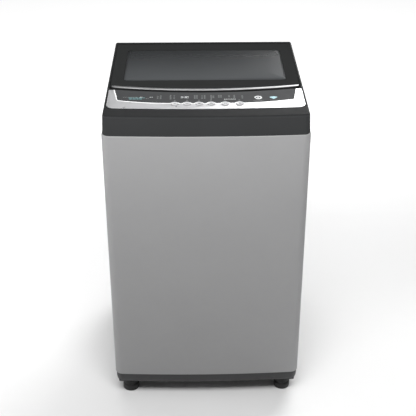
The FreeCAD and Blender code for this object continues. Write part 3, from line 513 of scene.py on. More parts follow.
def make_lights():
    """Soft studio light: a high front key, a bright panel behind on the right and weak fills."""
    world = bpy.data.worlds.new("studio")
    world.use_nodes = True
    background = world.node_tree.nodes["Background"]
    background.inputs["Color"].default_value = (1, 1, 1, 1)
    background.inputs["Strength"].default_value = WORLD_GLOW
    bpy.context.scene.world = world
    area_light("key", (-0.1, -1.2, 2.35), (0, 0.2, 1.0), (1.7, 1.0), 22.5, 110.0)
    area_light("top", (0.0, 1.0, 3.4), (0, 0.1, 0), (2.6, 2.2), 58)
    area_light("right_panel", (1.3, 2.4, 2.35), (0.1, -0.15, 0.94), (2.1, 1.3), 13, 60.0)
    area_light("left_fill", (-2.6, -0.4, 1.2), (0, 0, 0.5), (1.2, 2.0), 19)
    area_light("right_fill", (2.6, -0.4, 1.2), (0, 0, 0.5), (1.2, 2.0), 3)


make_camera()
make_floor()
make_backdrop()
make_lights()
bpy.context.scene.view_settings.view_transform = "Standard"


# ---------------------------------------------------------------- outside: cabinet, base and feet

REAR_GAP_HALF = 262.0
CORNER_POINTS = 9


def close(rings):
    """Rings whose last joins the first, so that the skin is a closed solid."""
    return rings + [rings[0]]


def wrap_path(inset, z):
    """Points along the sheet from one rear lip round the front to the other."""
    loop = plan(inset)
    k = CORNER_POINTS
    right, rear, rear_left, left = (loop[i * k:(i + 1) * k] for i in range(4))
    front = loop[4 * k:]
    lip = BACK_Y - inset
    path = [(REAR_GAP_HALF, lip)]
    for stretch in (rear, right, front, left, rear_left):
        path += stretch[::-1]
    return [upright(x, y, z) for x, y in path + [(-REAR_GAP_HALF, lip)]]


HEM, HEM_R, SHEET = 13.0, 2.2, 1.0
HEM_CURVE = ((0.9, 0.25), (0.3, 1.0), (0.0, 2.4))


def make_cabinet():
    """Painted sheet wrap with rolled hems at its top and bottom."""
    turn = HEM_R + 0.6
    bottom = [(HEM, CABINET_BOTTOM), (HEM_R, CABINET_BOTTOM)]
    bottom += [(i, CABINET_BOTTOM + z) for i, z in HEM_CURVE]
    top = [(i, CABINET_TOP - z) for i, z in HEM_CURVE[::-1]] + [(HEM_R, CABINET_TOP), (HEM, CABINET_TOP)]
    inside = [(HEM, CABINET_TOP - SHEET), (turn, CABINET_TOP - SHEET), (SHEET, CABINET_TOP - turn)]
    inside += [(SHEET, CABINET_BOTTOM + turn), (turn, CABINET_BOTTOM + SHEET), (HEM, CABINET_BOTTOM + SHEET)]
    profile = bottom + top + inside
    rings = [wrap_path(i, z) for i, z in profile]
    shell = skin("cabinet_shell", close(rings), closed=False)
    fit_out(shell, "cabinet", "cabinet_paint", PAINT, "cabinet")


SKIRT_PROFILE = ((2.0, 80.0), (2.4, 66.0), (3.6, 57.0), (5.6, 51.0), (8.4, 47.6), (12.0, 46.5))
SKIRT_WALL = 3.0
FLANGE_LOW, FLANGE_INSET = 76.0, 45.0
POCKET_HALF, POCKET_LOW, POCKET_HIGH = 35.0, 47.0, 79.0
POCKET_LIMIT = ((-271.0, 271.0), (-266.0, 269.0))
STUD_HOLE_R = 6.0


def plan_ring(inset, z):
    """Ring on the machine's plan outline, at a height."""
    return [upright(x, y, z) for x, y in plan(inset)]


def foot_pocket(x, y):
    """Block over a foot, with a hole for the stud and ribs round the hole."""
    half = POCKET_HALF
    corners = rounded_rect(x - half, y - half, x + half, y + half, 6.0, 3)
    (x_low, x_high), (y_low, y_high) = POCKET_LIMIT
    loop = [(min(max(px, x_low), x_high), min(max(py, y_low), y_high)) for px, py in corners]
    hole = arc(x, y, STUD_HOLE_R, 0, 345, 23)[::-1]
    pieces = [plate("block", [loop, hole], POCKET_LOW, POCKET_HIGH, 0.8, upright)]
    for turn in range(0, 360, 45):
        a = math.radians(turn + 22.5)
        near = (x + 14 * math.cos(a), y + 14 * math.sin(a))
        far = (x + 30 * math.cos(a), y + 30 * math.sin(a))
        pieces.append(fin("rib", near, far, 2.0, POCKET_LOW - 1.4, POCKET_LOW + 1.0))
    return pieces


def make_base():
    """Plinth with a rounded lower edge, an inner flange and a ribbed pocket over each foot."""
    outer = [plan_ring(i, z) for i, z in SKIRT_PROFILE]
    inner = [plan_ring(i + SKIRT_WALL, z) for i, z in SKIRT_PROFILE[-3:0:-1]]
    flange = [plan_ring(SKIRT_PROFILE[1][0] + SKIRT_WALL + 0.1, FLANGE_LOW)]
    flange += [plan_ring(FLANGE_INSET, FLANGE_LOW), plan_ring(FLANGE_INSET, CABINET_BOTTOM)]
    pieces = [skin("skirt", close(outer + inner + flange))]
    for sx in (-1, 1):
        for sy in (-1, 1):
            pieces += foot_pocket(sx * FOOT_X, sy * FOOT_Y)
    base = merge("base_skirt", pieces)
    fit_out(base, "cabinet", "base_plastic", BASE, "base_frame")


def fin(name, start, end, thick, low, high, place=upright):
    """Thin straight wall between two points."""
    ax, ay = start
    bx, by = end
    length = math.hypot(bx - ax, by - ay)
    nx, ny = -(by - ay) / length * thick / 2, (bx - ax) / length * thick / 2
    loop = [(ax + nx, ay + ny), (ax - nx, ay - ny), (bx - nx, by - ny), (bx + nx, by + ny)]
    return slab(name, [loop], low, high, place)


def slab(name, loops, low, high, place=on_slope):
    """Straight-sided prisms on simple loops, as one mesh."""
    verts = []
    faces = []
    for loop in loops:
        k = len(verts)
        n = len(loop)
        verts += [place(x, y, low) for x, y in loop] + [place(x, y, high) for x, y in loop]
        faces.append(tuple(k + i for i in range(n - 1, -1, -1)))
        faces.append(tuple(k + n + i for i in range(n)))
        faces += [(k + i, k + (i + 1) % n, k + n + (i + 1) % n, k + n + i) for i in range(n)]
    return add_mesh(name, verts, faces)


FOOT_PROFILE = ((0.5, 0.0), (22.0, 0.0), (23.8, 0.6), (24.7, 2.0), (25.0, 4.0), (25.0, 15.0), (24.6, 17.6),
                (23.4, 19.6), (21.6, 20.6), (21.0, 21.6), (21.6, 22.8), (22.0, 24.0), (22.0, 36.0),
                (21.0, 37.2), (13.6, 37.2), (12.6, 36.4), (12.6, 31.0), (5.6, 30.4), (5.6, 69.0),
                (4.6, 70.0), (0.5, 70.0))
FOOT_PLACES = {"foot_rear_right": (FOOT_X, FOOT_Y), "foot_rear_left": (-FOOT_X, FOOT_Y),
               "foot_front_left": (-FOOT_X, -FOOT_Y), "foot_front_right": (FOOT_X, -FOOT_Y)}
GRIPS, GRIP_IN_R, GRIP_OUT_R, GRIP_LOW, GRIP_HIGH = 20, 21.0, 22.8, 24.0, 36.2


def make_feet():
    """Rubber feet: a rounded pad, a cupped collar round the lock nut and a threaded stud."""
    for name, (x, y) in FOOT_PLACES.items():
        body = lathe("pad", list(FOOT_PROFILE), x, y, 48)
        grips = []
        for i in range(GRIPS):
            a = 2 * math.pi * i / GRIPS
            near = (x + GRIP_IN_R * math.cos(a), y + GRIP_IN_R * math.sin(a))
            far = (x + GRIP_OUT_R * math.cos(a), y + GRIP_OUT_R * math.sin(a))
            grips.append(fin("grip", near, far, 2.2, GRIP_LOW, GRIP_HIGH))
        piece = merge(name + "_pad", [body] + grips)
        fit_out(piece, name, "black_rubber", RUBBER, name)


# ---------------------------------------------------------------- outside: top cover

COVER_EDGE_R = 6.0
REAR_RIM_DROP = 4.5
COVER_LOW_INSET, COVER_HIGH_INSET = 2.5, 7.0
LOFT_BOTTOM, LOFT_TOP = CABINET_TOP, 1000.0
REAR_RIM_Y, REAR_RIM_SPAN = 246.0, 14.0
THROAT_BOTTOM = 848.0
SEAT_GAP = 0.5
RECESS_FLOOR, LEDGE_UNDER, SKIN_UNDER = -22.0, -24.6, -5.2
HOLLOW_HALF, HOLLOW_FRONT_V, HOLLOW_BACK_V = 266.0, 126.5, 520.0


def plane_z(y, w=0.0):
    """Height of the sloping top at a given depth, w above it."""
    return SLOPE_Z + (y - SLOPE_Y) * math.tan(TILT) + w / math.cos(TILT)


def side_inset(z):
    """How far the leaning band stands in from the cabinet at a height."""
    share = (z - LOFT_BOTTOM) / (LOFT_TOP - LOFT_BOTTOM)
    return COVER_LOW_INSET + (COVER_HIGH_INSET - COVER_LOW_INSET) * share


def rim_drop(y):
    """The rim is lower behind the lid."""
    t = min(max((y - REAR_RIM_Y) / REAR_RIM_SPAN, 0.0), 1.0)
    return -REAR_RIM_DROP * t * t * (3 - 2 * t)


def band_ring(inset, w):
    """Ring on the cover's outline at a depth below the sloping top, moved in by inset."""
    points = []
    for x, y in plan(side_inset(plane_z(0)) + inset):
        points.append(upright(x, y, plane_z(y, w + rim_drop(y))))
    return points


def slope_ring(half, front, back, bow, r_front, r_back, w, drop=0.0):
    """Ring on the sloping top."""
    points = []
    for x, v in bowed(half, front, back, bow, r_front, r_back):
        y = SLOPE_Y + v * math.cos(TILT)
        points.append(on_slope(x, v, w + drop * rim_drop(y)))
    return points


def mouth_ring(grow, z=None, w=None):
    """Ring on the tub mouth's outline, at a height or at a depth below the sloping top."""
    loop = bowed(MOUTH_HALF + grow, MOUTH_FRONT_Y - grow, MOUTH_BACK_Y + grow, 0.05,
                 MOUTH_R + grow, MOUTH_R + grow)
    return [upright(x, y, plane_z(y, w) if z is None else z) for x, y in loop]


def carve(obj, cutters):
    """Take the cutters away from a closed mesh."""
    for cutter in cutters:
        modifier = obj.modifiers.new("cut", "BOOLEAN")
        modifier.operation = "DIFFERENCE"
        modifier.solver = "EXACT"
        modifier.object = cutter
    bpy.context.view_layer.update()
    depsgraph = bpy.context.evaluated_depsgraph_get()
    mesh = bpy.data.meshes.new_from_object(obj.evaluated_get(depsgraph))
    obj.modifiers.clear()
    obj.data = mesh
    for cutter in cutters:
        bpy.data.objects.remove(cutter)
    tidy_mesh(obj)
    return obj


def rod(name, start, end, r, steps=32):
    """Straight round bar between two points in metres; r in millimetres."""
    axis = (end - start).normalized()
    side = axis.orthogonal().normalized()
    up = axis.cross(side)
    turn = [2 * math.pi * i / steps for i in range(steps)]
    offset = [(side * math.cos(a) + up * math.sin(a)) * r * MM for a in turn]
    return skin(name, [[start + o for o in offset], [end + o for o in offset]], True, (True, True))


def block(name, x0, y0, z0, x1, y1, z1, place=upright, r=0.0):
    """Block between two corners, with round upright edges if r is given."""
    loop = rounded_rect(x0, y0, x1, y1, r, 4) if r else [(x0, y0), (x1, y0), (x1, y1), (x0, y1)]
    return slab(name, [loop], z0, z1, place)


def top_cover_rings():
    """The cover's section, from its lower edge over the top, down the mouth and back underneath."""
    low = CABINET_TOP
    rings = [plan_ring(COVER_LOW_INSET + 3.0, low), plan_ring(COVER_LOW_INSET + 0.8, low)]
    rings.append(plan_ring(COVER_LOW_INSET + 0.03, low + 0.9))
    r = COVER_EDGE_R
    for turn in (0, 15, 30, 45, 60, 75, 90):
        a = math.radians(turn)
        rings.append(band_ring(r * (1 - math.cos(a)), -r * (1 - math.sin(a))))
    half, front, wall, back = FASCIA_HALF + SEAT_GAP, FASCIA_FRONT - SEAT_GAP, WALL_V + 0.9, RECESS_BACK_V
    rings.append(slope_ring(half + 0.8, front - 0.8, back + 0.8, FRONT_BOW, 22, 5, 0.0, 1.0))
    rings.append(slope_ring(half, front, back, FRONT_BOW, 14, 4, -0.8, 1.0))
    rings.append(slope_ring(half, front, back, FRONT_BOW, 14, 4, -2.2, 1.0))
    rings.append(slope_ring(half, wall - 0.4, back, LID_BOW, 16, 4, -2.2, 1.0))
    rings.append(slope_ring(half, wall, back, LID_BOW, 16, 4, -3.0, 0.6))
    rings.append(slope_ring(half, wall, back, LID_BOW, 16, 4, RECESS_FLOOR + 4.0))
    rings.append(slope_ring(half - 1.4, wall + 1.3, back - 1.4, LID_BOW, 15, 3.5, RECESS_FLOOR + 0.8))
    rings.append(slope_ring(half - 4.5, wall + 4.5, back - 4.5, LID_BOW, 12, 3, RECESS_FLOOR))
    for grow, w in ((3.0, RECESS_FLOOR), (0.8, RECESS_FLOOR - 0.8), (0.0, RECESS_FLOOR - 3.0)):
        rings.append(mouth_ring(grow, w=w))
    for grow, z in ((0.0, THROAT_BOTTOM + 1), (0.8, THROAT_BOTTOM), (3.0, THROAT_BOTTOM)):
        rings.append(mouth_ring(grow, z=z))
    rings.append(mouth_ring(3.0, w=LEDGE_UNDER))
    for w in (LEDGE_UNDER, SKIN_UNDER):
        rings.append(slope_ring(HOLLOW_HALF, HOLLOW_FRONT_V, HOLLOW_BACK_V, LID_BOW, 12, 4, w))
    rings.append(slope_ring(266.5, 8.0, 521.0, FRONT_BOW, 12, 4, SKIN_UNDER))
    rings.append([upright(x, y, plane_z(y, -9.0)) for x, y in plan(side_inset(plane_z(0)) + 3.0)])
    return rings


def make_top_cover():
    """Dark top: leaning band, rounded shoulder, seat for the panel, lid pocket and mouth."""
    cover = skin("top_cover_shell", close(top_cover_rings()))
    cutters = [rod("cut", on_slope(x, BUTTON_V, -12), on_slope(x, BUTTON_V, 4), BUTTON_HOLE_R)
               for x in BUTTON_X]
    cutters.append(block("cut", STRIKE_X - 13, STRIKE_V - 10, -40.0, STRIKE_X + 13, STRIKE_V + 12, -10.0,
                         on_slope))
    cutters.append(block("cut", DRAWER_X0 - 6, MOUTH_FRONT_Y - 12, DRAWER_Z0 - 6,
                         DRAWER_X1 + 6, MOUTH_FRONT_Y + 5, DRAWER_Z1 + 6))
    cutters.append(rod("cut", upright(STUB_X, 253, STUB_Z), upright(STUB_X, 290, STUB_Z), 22.2))
    carve(cover, cutters)
    fit_out(cover, "cabinet", "cover_plastic", COVER, "top_cover")


# ---------------------------------------------------------------- outside: control panel

OVERLAY_TOP_HALF, OVERLAY_LOW_HALF = 252.5, 242.0
OVERLAY_LOW_V, OVERLAY_CORNER_RISE = 70.4, 24.0
SCALLOP_R = 13.4
OVERLAY_CORNER_R = 9.0
FASCIA_EDGE_GAP = 3.0
PANEL_UNDER = -2.0


def wall_edge(x, gap):
    """Where the panel ends in front of the lid's pocket, a gap before its wall."""
    half = LID_HALF + 1.5
    big_r = (half * half + LID_BOW * LID_BOW) / (2 * LID_BOW)
    return WALL_V - gap + big_r - math.sqrt(big_r * big_r - x * x)


def overlay_low(x):
    """Front edge of the dark panel, with a scallop round each button."""
    v = OVERLAY_LOW_V + OVERLAY_CORNER_RISE * (abs(x) / OVERLAY_LOW_HALF) ** 3
    for bx in BUTTON_X:
        if abs(x - bx) < SCALLOP_R:
            v = max(v, BUTTON_V + math.sqrt(SCALLOP_R ** 2 - (x - bx) ** 2))
    return v


def overlay_edge():
    """The dark panel's edge, from its back left corner round the front to its back right corner."""
    r = OVERLAY_CORNER_R
    low_x = OVERLAY_LOW_HALF - r
    low = [(x, overlay_low(x)) for x in [-low_x + 2.0 * i for i in range(int(low_x))] + [low_x]]
    corner_v = low[0][1]
    lean = (OVERLAY_TOP_HALF - OVERLAY_LOW_HALF) / (FASCIA_BACK - corner_v)
    turn = math.degrees(math.atan(lean))
    right_corner = arc(low_x - 0.6, corner_v + r, r, -84, -turn, 6)
    right = right_corner + [(OVERLAY_TOP_HALF, FASCIA_BACK - 0.5)]
    left = [(-x, v) for x, v in reversed(right)]
    return left + low + right


def back_edge(half, gap, steps=40):
    """The panel's back edge from right to left."""
    points = []
    for i in range(steps + 1):
        x = half * (1 - 2 * i / steps)
        points.append((x, min(wall_edge(x, FASCIA_EDGE_GAP + gap), FASCIA_BACK - gap)))
    return points


def inset_path(path, distance):
    """Open path moved to its left by a distance."""
    moved = []
    for i, (x, y) in enumerate(path):
        ax, ay = path[max(i - 1, 0)]
        bx, by = path[min(i + 1, len(path) - 1)]
        length = math.hypot(bx - ax, by - ay) or 1.0
        moved.append((x - (by - ay) / length * distance, y + (bx - ax) / length * distance))
    return moved


def bead(name, path, half_width, low, high, place=on_slope):
    """Rounded strip along an open path."""
    h = half_width
    shoulder = high - 0.35
    section = [(-h, low), (-h, shoulder), (-h * 0.6, high), (h * 0.6, high), (h, shoulder), (h, low)]
    rings = []
    for offset, w in section:
        rings.append([place(x, y, w) for x, y in inset_path(path, offset)])
    return skin(name, close(rings), closed=False)


def make_panel():
    """Silver fascia, a real bead along the film's edge coloured near white as a painted highlight, and dark
    film.
    """
    edge = overlay_edge()
    half = FASCIA_HALF - 0.2
    outer = bowed(half, FASCIA_FRONT + 0.2, FASCIA_BACK, FRONT_BOW, 21, 3)
    k = CORNER_POINTS
    right, left, front = outer[:k], outer[3 * k:4 * k], outer[4 * k:]
    top_right = [(half, FASCIA_BACK - 1)]
    top_left = [(-half, FASCIA_BACK - 1)]
    loop = edge + top_right + right[::-1] + front[::-1] + left[::-1] + top_left
    holes = [arc(x, BUTTON_V, BUTTON_HOLE_R, 360, 8, 44) for x in BUTTON_X]
    fascia = plate("fascia_plate", [loop[::-1]] + holes, PANEL_UNDER, 0.15, 0.2)
    fit_out(fascia, "cabinet", "panel_silver", SILVER, "control_fascia")
    # The bead is real; its near-white colour is a painted highlight.
    line = bead("fascia_edge_highlight", inset_path(edge, -0.9), 1.2, -1.0, 0.6)
    fit_out(line, "cabinet", "chrome", EDGE_HIGHLIGHT)
    film_edge = inset_path(edge, 0.5)
    back = back_edge(OVERLAY_TOP_HALF - 0.8, 0.3)
    film = plate("panel_film", [film_edge + back, LENS_LOOP[::-1]], PANEL_UNDER, 0.1, 0.12)
    fit_out(film, "cabinet", "panel_dark", DARK, "control_overlay")


LENS_X, LENS_V = -52.4, 110.0
LENS_HALF, LENS_HALF_V, LENS_GAP = 18.0, 11.0, 0.3
LENS_LOOP = rounded_rect(LENS_X - LENS_HALF, LENS_V - LENS_HALF_V,
                         LENS_X + LENS_HALF, LENS_V + LENS_HALF_V, 3, 4)
DIGIT_TALL = 9.0
MARK_LOW, MARK_HIGH = 0.06, 0.16
DIGIT_BARS = {"top": (0, 1, 0), "middle": (0, 0, 0), "bottom": (0, -1, 0), "upper_left": (-1, 0.5, 1),
              "upper_right": (1, 0.5, 1), "lower_left": (-1, -0.5, 1), "lower_right": (1, -0.5, 1)}


def digit(x, v, tall, bars):
    """Bars of a seven-segment figure."""
    loops = []
    long_half, thin = tall * 0.19, tall * 0.055
    for bar in bars:
        bx, bv, up = DIGIT_BARS[bar]
        cx, cv = x + bx * tall * 0.25, v + bv * tall * 0.5
        hx, hv = (thin, long_half) if up else (long_half, thin)
        loops.append([(cx - hx, cv - hv), (cx + hx, cv - hv), (cx + hx, cv + hv), (cx - hx, cv + hv)])
    return loops


def make_display():
    """Tinted window with a lit time."""
    hx, hv = LENS_HALF - LENS_GAP, LENS_HALF_V - LENS_GAP
    outline = rounded_rect(LENS_X - hx, LENS_V - hv, LENS_X + hx, LENS_V + hv, 3, 4)
    lens = plate("display_window", [outline], PANEL_UNDER, 0.2, 0.2)
    fit_out(lens, "cabinet", "lens_dark", LENS, "display_lens")
    zero = ("top", "bottom", "upper_left", "upper_right", "lower_left", "lower_right")
    three = ("top", "middle", "bottom", "upper_right", "lower_right")
    x = LENS_X - 5.0
    loops = digit(x - 7.4, LENS_V, DIGIT_TALL, zero) + digit(x + 1.0, LENS_V, DIGIT_TALL, three)
    loops += digit(x + 7.4, LENS_V, DIGIT_TALL, zero)
    loops += [rounded_rect(x - 3.6, LENS_V + d, x - 2.6, LENS_V + d + 1.2, 0.3, 2) for d in (-3, 2)]
    fit_out(slab("display_digits", loops, 0.15, 0.28), "cabinet", "lens_dark", GLOW)


def dashes(x0, x1, v, tall, lengths, gap=1.3):
    """A row of dashes that stands for a line of print."""
    loops = []
    x = x0
    i = 0
    while x + lengths[i % len(lengths)] <= x1:
        step = lengths[i % len(lengths)]
        low, high = v - tall / 2, v + tall / 2
        loops.append([(x, low), (x + step, low), (x + step, high), (x, high)])
        x += step + gap
        i += 1
    return loops


def sector(x, v, r_out, r_in, a0, a1, steps=16):
    """Part of a ring."""
    return arc(x, v, r_out, a0, a1, steps) + arc(x, v, r_in, a1, a0, steps)


LAMP_COLUMNS = ((-131, (118, 111, 104)), (-123, (121, 114, 108, 102)), (-96, (123, 117, 111, 105, 99)),
                (-86, (120, 111, 102)), (-30, (121, 115, 109, 103)), (-24, (121, 115, 109, 103)),
                (-10, (118, 110, 102)), (-3, (121, 115, 109, 103)), (15, (121, 115, 109, 103, 97)),
                (21, (118, 112, 106)), (36, (121, 115, 109)), (42, (121, 115, 109)), (64, (118, 111)),
                (78, (121, 113, 105)), (100, (117, 110, 103)))
DIAL_X, DIAL_V = 143.2, 105.5
FAN_X, FAN_V = 185.0, 96.5


def make_prints():
    """Plain marks on the dark panel: dashes for text, lamps and simple symbols."""
    white = dashes(-180, -168, 112.5, 2.4, (3.4, 2.6, 4.0))
    white += dashes(-153, -139, 112.0, 2.6, (4.2, 3.2, 4.6))
    white += dashes(50, 84, 96.0, 2.4, (3.2, 4.6, 2.4))
    white += [sector(DIAL_X, DIAL_V, 10.6, 6.0, a0, a1) for a0, a1 in ((15, 190), (215, 372))]
    white.append(sector(DIAL_X, DIAL_V, 3.0, 0.6, 20, 340))
    dim = dashes(-226, -184, 112.5, 2.0, (3.0, 4.4, 2.4, 5.0))
    dim += dashes(-163, -152, 103.0, 2.0, (3.4, 2.6))
    for x, rows in LAMP_COLUMNS:
        dim += [rounded_rect(x - 2.2, v - 1.1, x + 2.2, v + 1.1, 0.4, 2) for v in rows]
    for x in (DIAL_X, 188.0):
        dim += dashes(x - 14, x + 15, 87.5, 1.6, (3.2, 4.6, 2.6))
    for bx in BUTTON_X:
        dim += [sector(bx, BUTTON_V + 24, 2.4, 1.2, 0, 330, 10)]
    blue = []
    for k, r in enumerate((5.6, 10.6, 15.6)):
        blue.append(sector(FAN_X, FAN_V, r, r - 3.9 if k else 0.2, 38 + 3 * k, 142 - 3 * k))
    teal = dashes(-208, -166, 101.0, 5.0, (7.0, 9.5, 6.0), 1.6)
    teal += dashes(-210, -164, 108.0, 4.6, (9.0, 5.5, 7.5), 1.8)
    for shade, loops, ink in (("white", white, PRINT), ("dim", dim, PRINT_DIM),
                              ("blue", blue, PRINT_BLUE), ("teal", teal, PRINT_TEAL)):
        marks = slab("panel_marks_" + shade, loops, MARK_LOW, MARK_HIGH)
        fit_out(marks, "cabinet", "panel_dark", ink)


BUTTON_STEPS = 48
BUTTON_PROFILE = ((0.4, -9.0), (3.0, -9.0), (3.0, -3.5), (10.0, -3.5), (10.2, -3.2), (10.2, 1.6), (9.9, 2.5),
                  (9.3, 3.0), (8.6, 3.2), (7.9, 3.0), (6.6, 2.5), (4.0, 2.15), (0.4, 2.05))


def bar_mark(x, v, x0, v0, x1, v1, r=0.3):
    """A small bar with round corners, placed from a button's middle."""
    return rounded_rect(x + x0, v + v0, x + x1, v + v1, r, 2)


def button_mark(number, x, v):
    """A simple dark symbol for each button."""
    if number == 1:
        bars = ((-0.9, -3.6, 0.9, 3.6), (-3.6, -0.9, -1.3, 0.9), (1.3, -0.9, 3.6, 0.9))
        return [bar_mark(x, v, *bar, 0.5) for bar in bars]
    if number == 2:
        return [sector(x, v, 3.8, 2.4, 20, 330)]
    if number == 3:
        return [bar_mark(x, v, -3.6, d - 0.5, 3.6, d + 0.5) for d in (-2.2, 0, 2.2)]
    if number == 4:
        return [sector(x, v, 3.8, 2.7, 0, 350), bar_mark(x, v, -0.5, -0.4, 0.5, 2.4)]
    if number == 5:
        arrow = [(x - 3.6, v - 2.6), (x + 0.4, v), (x - 3.6, v + 2.6)]
        return [arrow, bar_mark(x, v, 1.2, -2.6, 2.2, 2.6), bar_mark(x, v, 3.0, -2.6, 4.0, 2.6)]
    return [arc(x, v, 3.2, 0, 345, 15)]


def make_buttons():
    """Dished silver buttons, each with its own symbol."""
    for number, x in enumerate(BUTTON_X, start=1):
        body = "button_%d" % number
        rings = []
        for i in range(BUTTON_STEPS):
            a = 2 * math.pi * i / BUTTON_STEPS
            c, s = math.cos(a), math.sin(a)
            rings.append([on_slope(x + r * c, BUTTON_V + r * s, w) for r, w in BUTTON_PROFILE])
        cap = skin("button_cap_%d" % number, close(rings))
        fit_out(cap, body, "button_silver", BUTTON, body)
        mark = slab("button_mark_%d" % number, button_mark(number, x, BUTTON_V), 2.1, 2.55)
        fit_out(mark, body, "button_silver", MARK)


# ---------------------------------------------------------------- outside: lid

LID_T = 20.0
LID_EDGE_R = 2.2
LID_CORNER_R, LID_REAR_R = 14.0, 3.0
LID_SKIN = 4.0
SEAT_UNDER = -11.0
WINDOW_LAP, WINDOW_R = 8.0, 12.0
RIB_T, RIB_LOW, RIB_HIGH = 1.8, -15.0, -3.0
TRIM_HALF, TRIM_TAPER = 264.0, 4.0


def lid_ring(grow, w):
    """Ring on the lid's outline up to its hinge roll."""
    return slope_ring(LID_HALF + grow, LID_FRONT - grow, HINGE_V + 2 + grow, LID_BOW,
                      max(LID_CORNER_R + grow, 2), max(LID_REAR_R + grow, 0.6), w)


def window_ring(grow, w):
    """Ring on the window's outline."""
    loop = bowed(WINDOW_HALF + grow, WINDOW_FRONT - grow, WINDOW_BACK + grow, 0.6,
                 max(WINDOW_R + grow, 3), max(WINDOW_R + grow, 3))
    return [on_slope(x, v, w) for x, v in loop]


def make_lid_frame():
    """Lid frame: rounded outer edge, sunk window seat, ribs below and a roll along the hinge."""
    r = LID_EDGE_R
    rings = [lid_ring(-4.0, -LID_T), lid_ring(-0.6, -LID_T), lid_ring(0.0, -LID_T + 0.6)]
    for turn in (0, 22.5, 45, 67.5, 90):
        a = math.radians(turn)
        rings.append(lid_ring(-r * (1 - math.cos(a)), -r * (1 - math.sin(a))))
    rings += [lid_ring(-9.0, 0.0), window_ring(1.2, 0.0), window_ring(0.6, -0.4), window_ring(0.0, -1.6)]
    rings += [window_ring(0.0, SEAT_UNDER), window_ring(WINDOW_LAP + 3, SEAT_UNDER)]
    rings += [window_ring(WINDOW_LAP + 3, -LID_SKIN), lid_ring(-8.0, -LID_SKIN), lid_ring(-4.0, -6.0)]
    pieces = [skin("shell", close(rings), smooth=28.0)]
    section = arc(HINGE_V, -HINGE_DROP, HINGE_DROP, 90, -90, 14)
    section += [(HINGE_V - 8, -2 * HINGE_DROP), (HINGE_V - 8, 0.0)]
    for x0, x1 in ((-LID_HALF + 1, -150), (-149, -1), (1, 149), (150, LID_HALF - 1)):
        ends = [[on_slope(x, v, w) for v, w in section] for x in (x0, x1)]
        pieces.append(skin("roll", ends, True, (True, True)))
    ribs = []
    for x in range(-200, 201, 50):
        front = LID_FRONT + LID_BOW * (x / LID_HALF) ** 2 + 4
        ribs += [((x, front), (x, WINDOW_FRONT - 10)), ((x, WINDOW_BACK + 10), (x, HINGE_V - 6))]
    for v in range(250, 440, 40):
        ribs += [((sx * (WINDOW_HALF + 10), v), (sx * (LID_HALF - 3), v)) for sx in (-1, 1)]
    pieces += [fin("rib", start, end, RIB_T, RIB_LOW, RIB_HIGH, on_slope) for start, end in ribs]
    x, v = STRIKE_X, STRIKE_V
    strike = block("strike", x - 9, v - 2, -36.0, x + 9, v + 2, -3.0, on_slope)
    pieces.append(carve(strike, [block("cut", x - 6, v - 4, -33.0, x + 6, v + 4, -23.0, on_slope)]))
    fit_out(merge("lid_frame_shell", pieces), "lid", "lid_plastic", LID, "lid_frame")


def lid_front(x):
    """The lid's front edge at a place across it."""
    big_r = (LID_HALF * LID_HALF + LID_BOW * LID_BOW) / (2 * LID_BOW)
    return LID_FRONT + big_r - math.sqrt(big_r * big_r - x * x)


TRIM_SECTION = ((13.4, 0.05), (12.8, 0.7), (11.8, 1.0), (6.0, 1.05), (3.4, 0.9), (2.7, 0.5), (2.4, -0.2),
                (2.6, -1.4), (3.4, -2.2), (6.0, -2.4), (13.4, -1.6))


TRIM_BACK, TRIM_DOWN = 3.0, -1.6


def make_trim():
    """Bright bar along the lid's front edge, tapered at both ends."""
    rings = []
    steps = 60
    r = LID_CORNER_R
    for dv, w in TRIM_SECTION:
        ring = []
        for i in range(steps + 1):
            x = -TRIM_HALF + 2 * TRIM_HALF * i / steps
            end = min((TRIM_HALF - abs(x)) / TRIM_TAPER, 1.0)
            size = 0.5 + 0.5 * math.sqrt(max(end, 0.0))
            corner = max(abs(x) - (LID_HALF - r), 0.0)
            tuck = r - math.sqrt(r ** 2 - corner ** 2)
            v = lid_front(x) + tuck + TRIM_BACK + (dv - TRIM_BACK) * size
            ring.append(on_slope(x, v, TRIM_DOWN + (w - TRIM_DOWN) * size))
        rings.append(ring)
    bar = skin("lid_bright_bar", close(rings), closed=False, smooth=50.0)
    fit_out(bar, "lid", "chrome", CHROME, "lid_trim")


def make_glass():
    """Smoked window, raised in the middle with a sloping edge."""
    rings = [window_ring(WINDOW_LAP - 0.6, -5.5), window_ring(WINDOW_LAP - 0.6, -2.0)]
    rings += [window_ring(-0.6, -1.9), window_ring(-1.6, -0.6), window_ring(-6.5, 1.6)]
    rings += [window_ring(-8.5, 2.0), window_ring(-50.0, 2.8)]
    under = [window_ring(-50.0, -1.1), window_ring(-8.5, -1.8), window_ring(-3.0, -5.5)]
    top = skin("window_top", rings, smooth=30.0, caps=(False, True))
    low = skin("window_low", [rings[0]] + under[::-1], smooth=30.0, caps=(False, True))
    glass = merge("lid_window", [top, low])
    fit_out(glass, "lid", "smoked_glass", GLASS, "lid_glass")
    border = [window_ring(-2.2, -5.6), window_ring(-9.0, -2.2), window_ring(-9.0, -2.5),
              window_ring(-2.2, -5.9)]
    fit_out(skin("window_border", close(border)), "lid", "smoked_glass", BORDER)


# ---------------------------------------------------------------- inside: tub, basket and drive

TUB_R, TUB_BOTTOM, TUB_TOP, TUB_WALL = 248.0, 190.0, 800.0, 3.0
BASKET_R, BASKET_BOTTOM, BASKET_TOP = 224.0, 222.0, 775.0
RING_INNER_R, RING_TOP = 186.0, 812.0
PULSATOR_R, PULSATOR_Z, PULSATOR_SWIRL = 168.0, 230.0, 0.0022
LUG_Z, LUG_T, SPRING_BOTTOM = 225.0, 12.0, 165.0
ROD_X, ROD_Y = 236.0, 226.0
FILTER_Y, FILTER_LOW, FILTER_HIGH = 204.0, 470.0, 650.0
BACK_SHEET_Y = 277.0


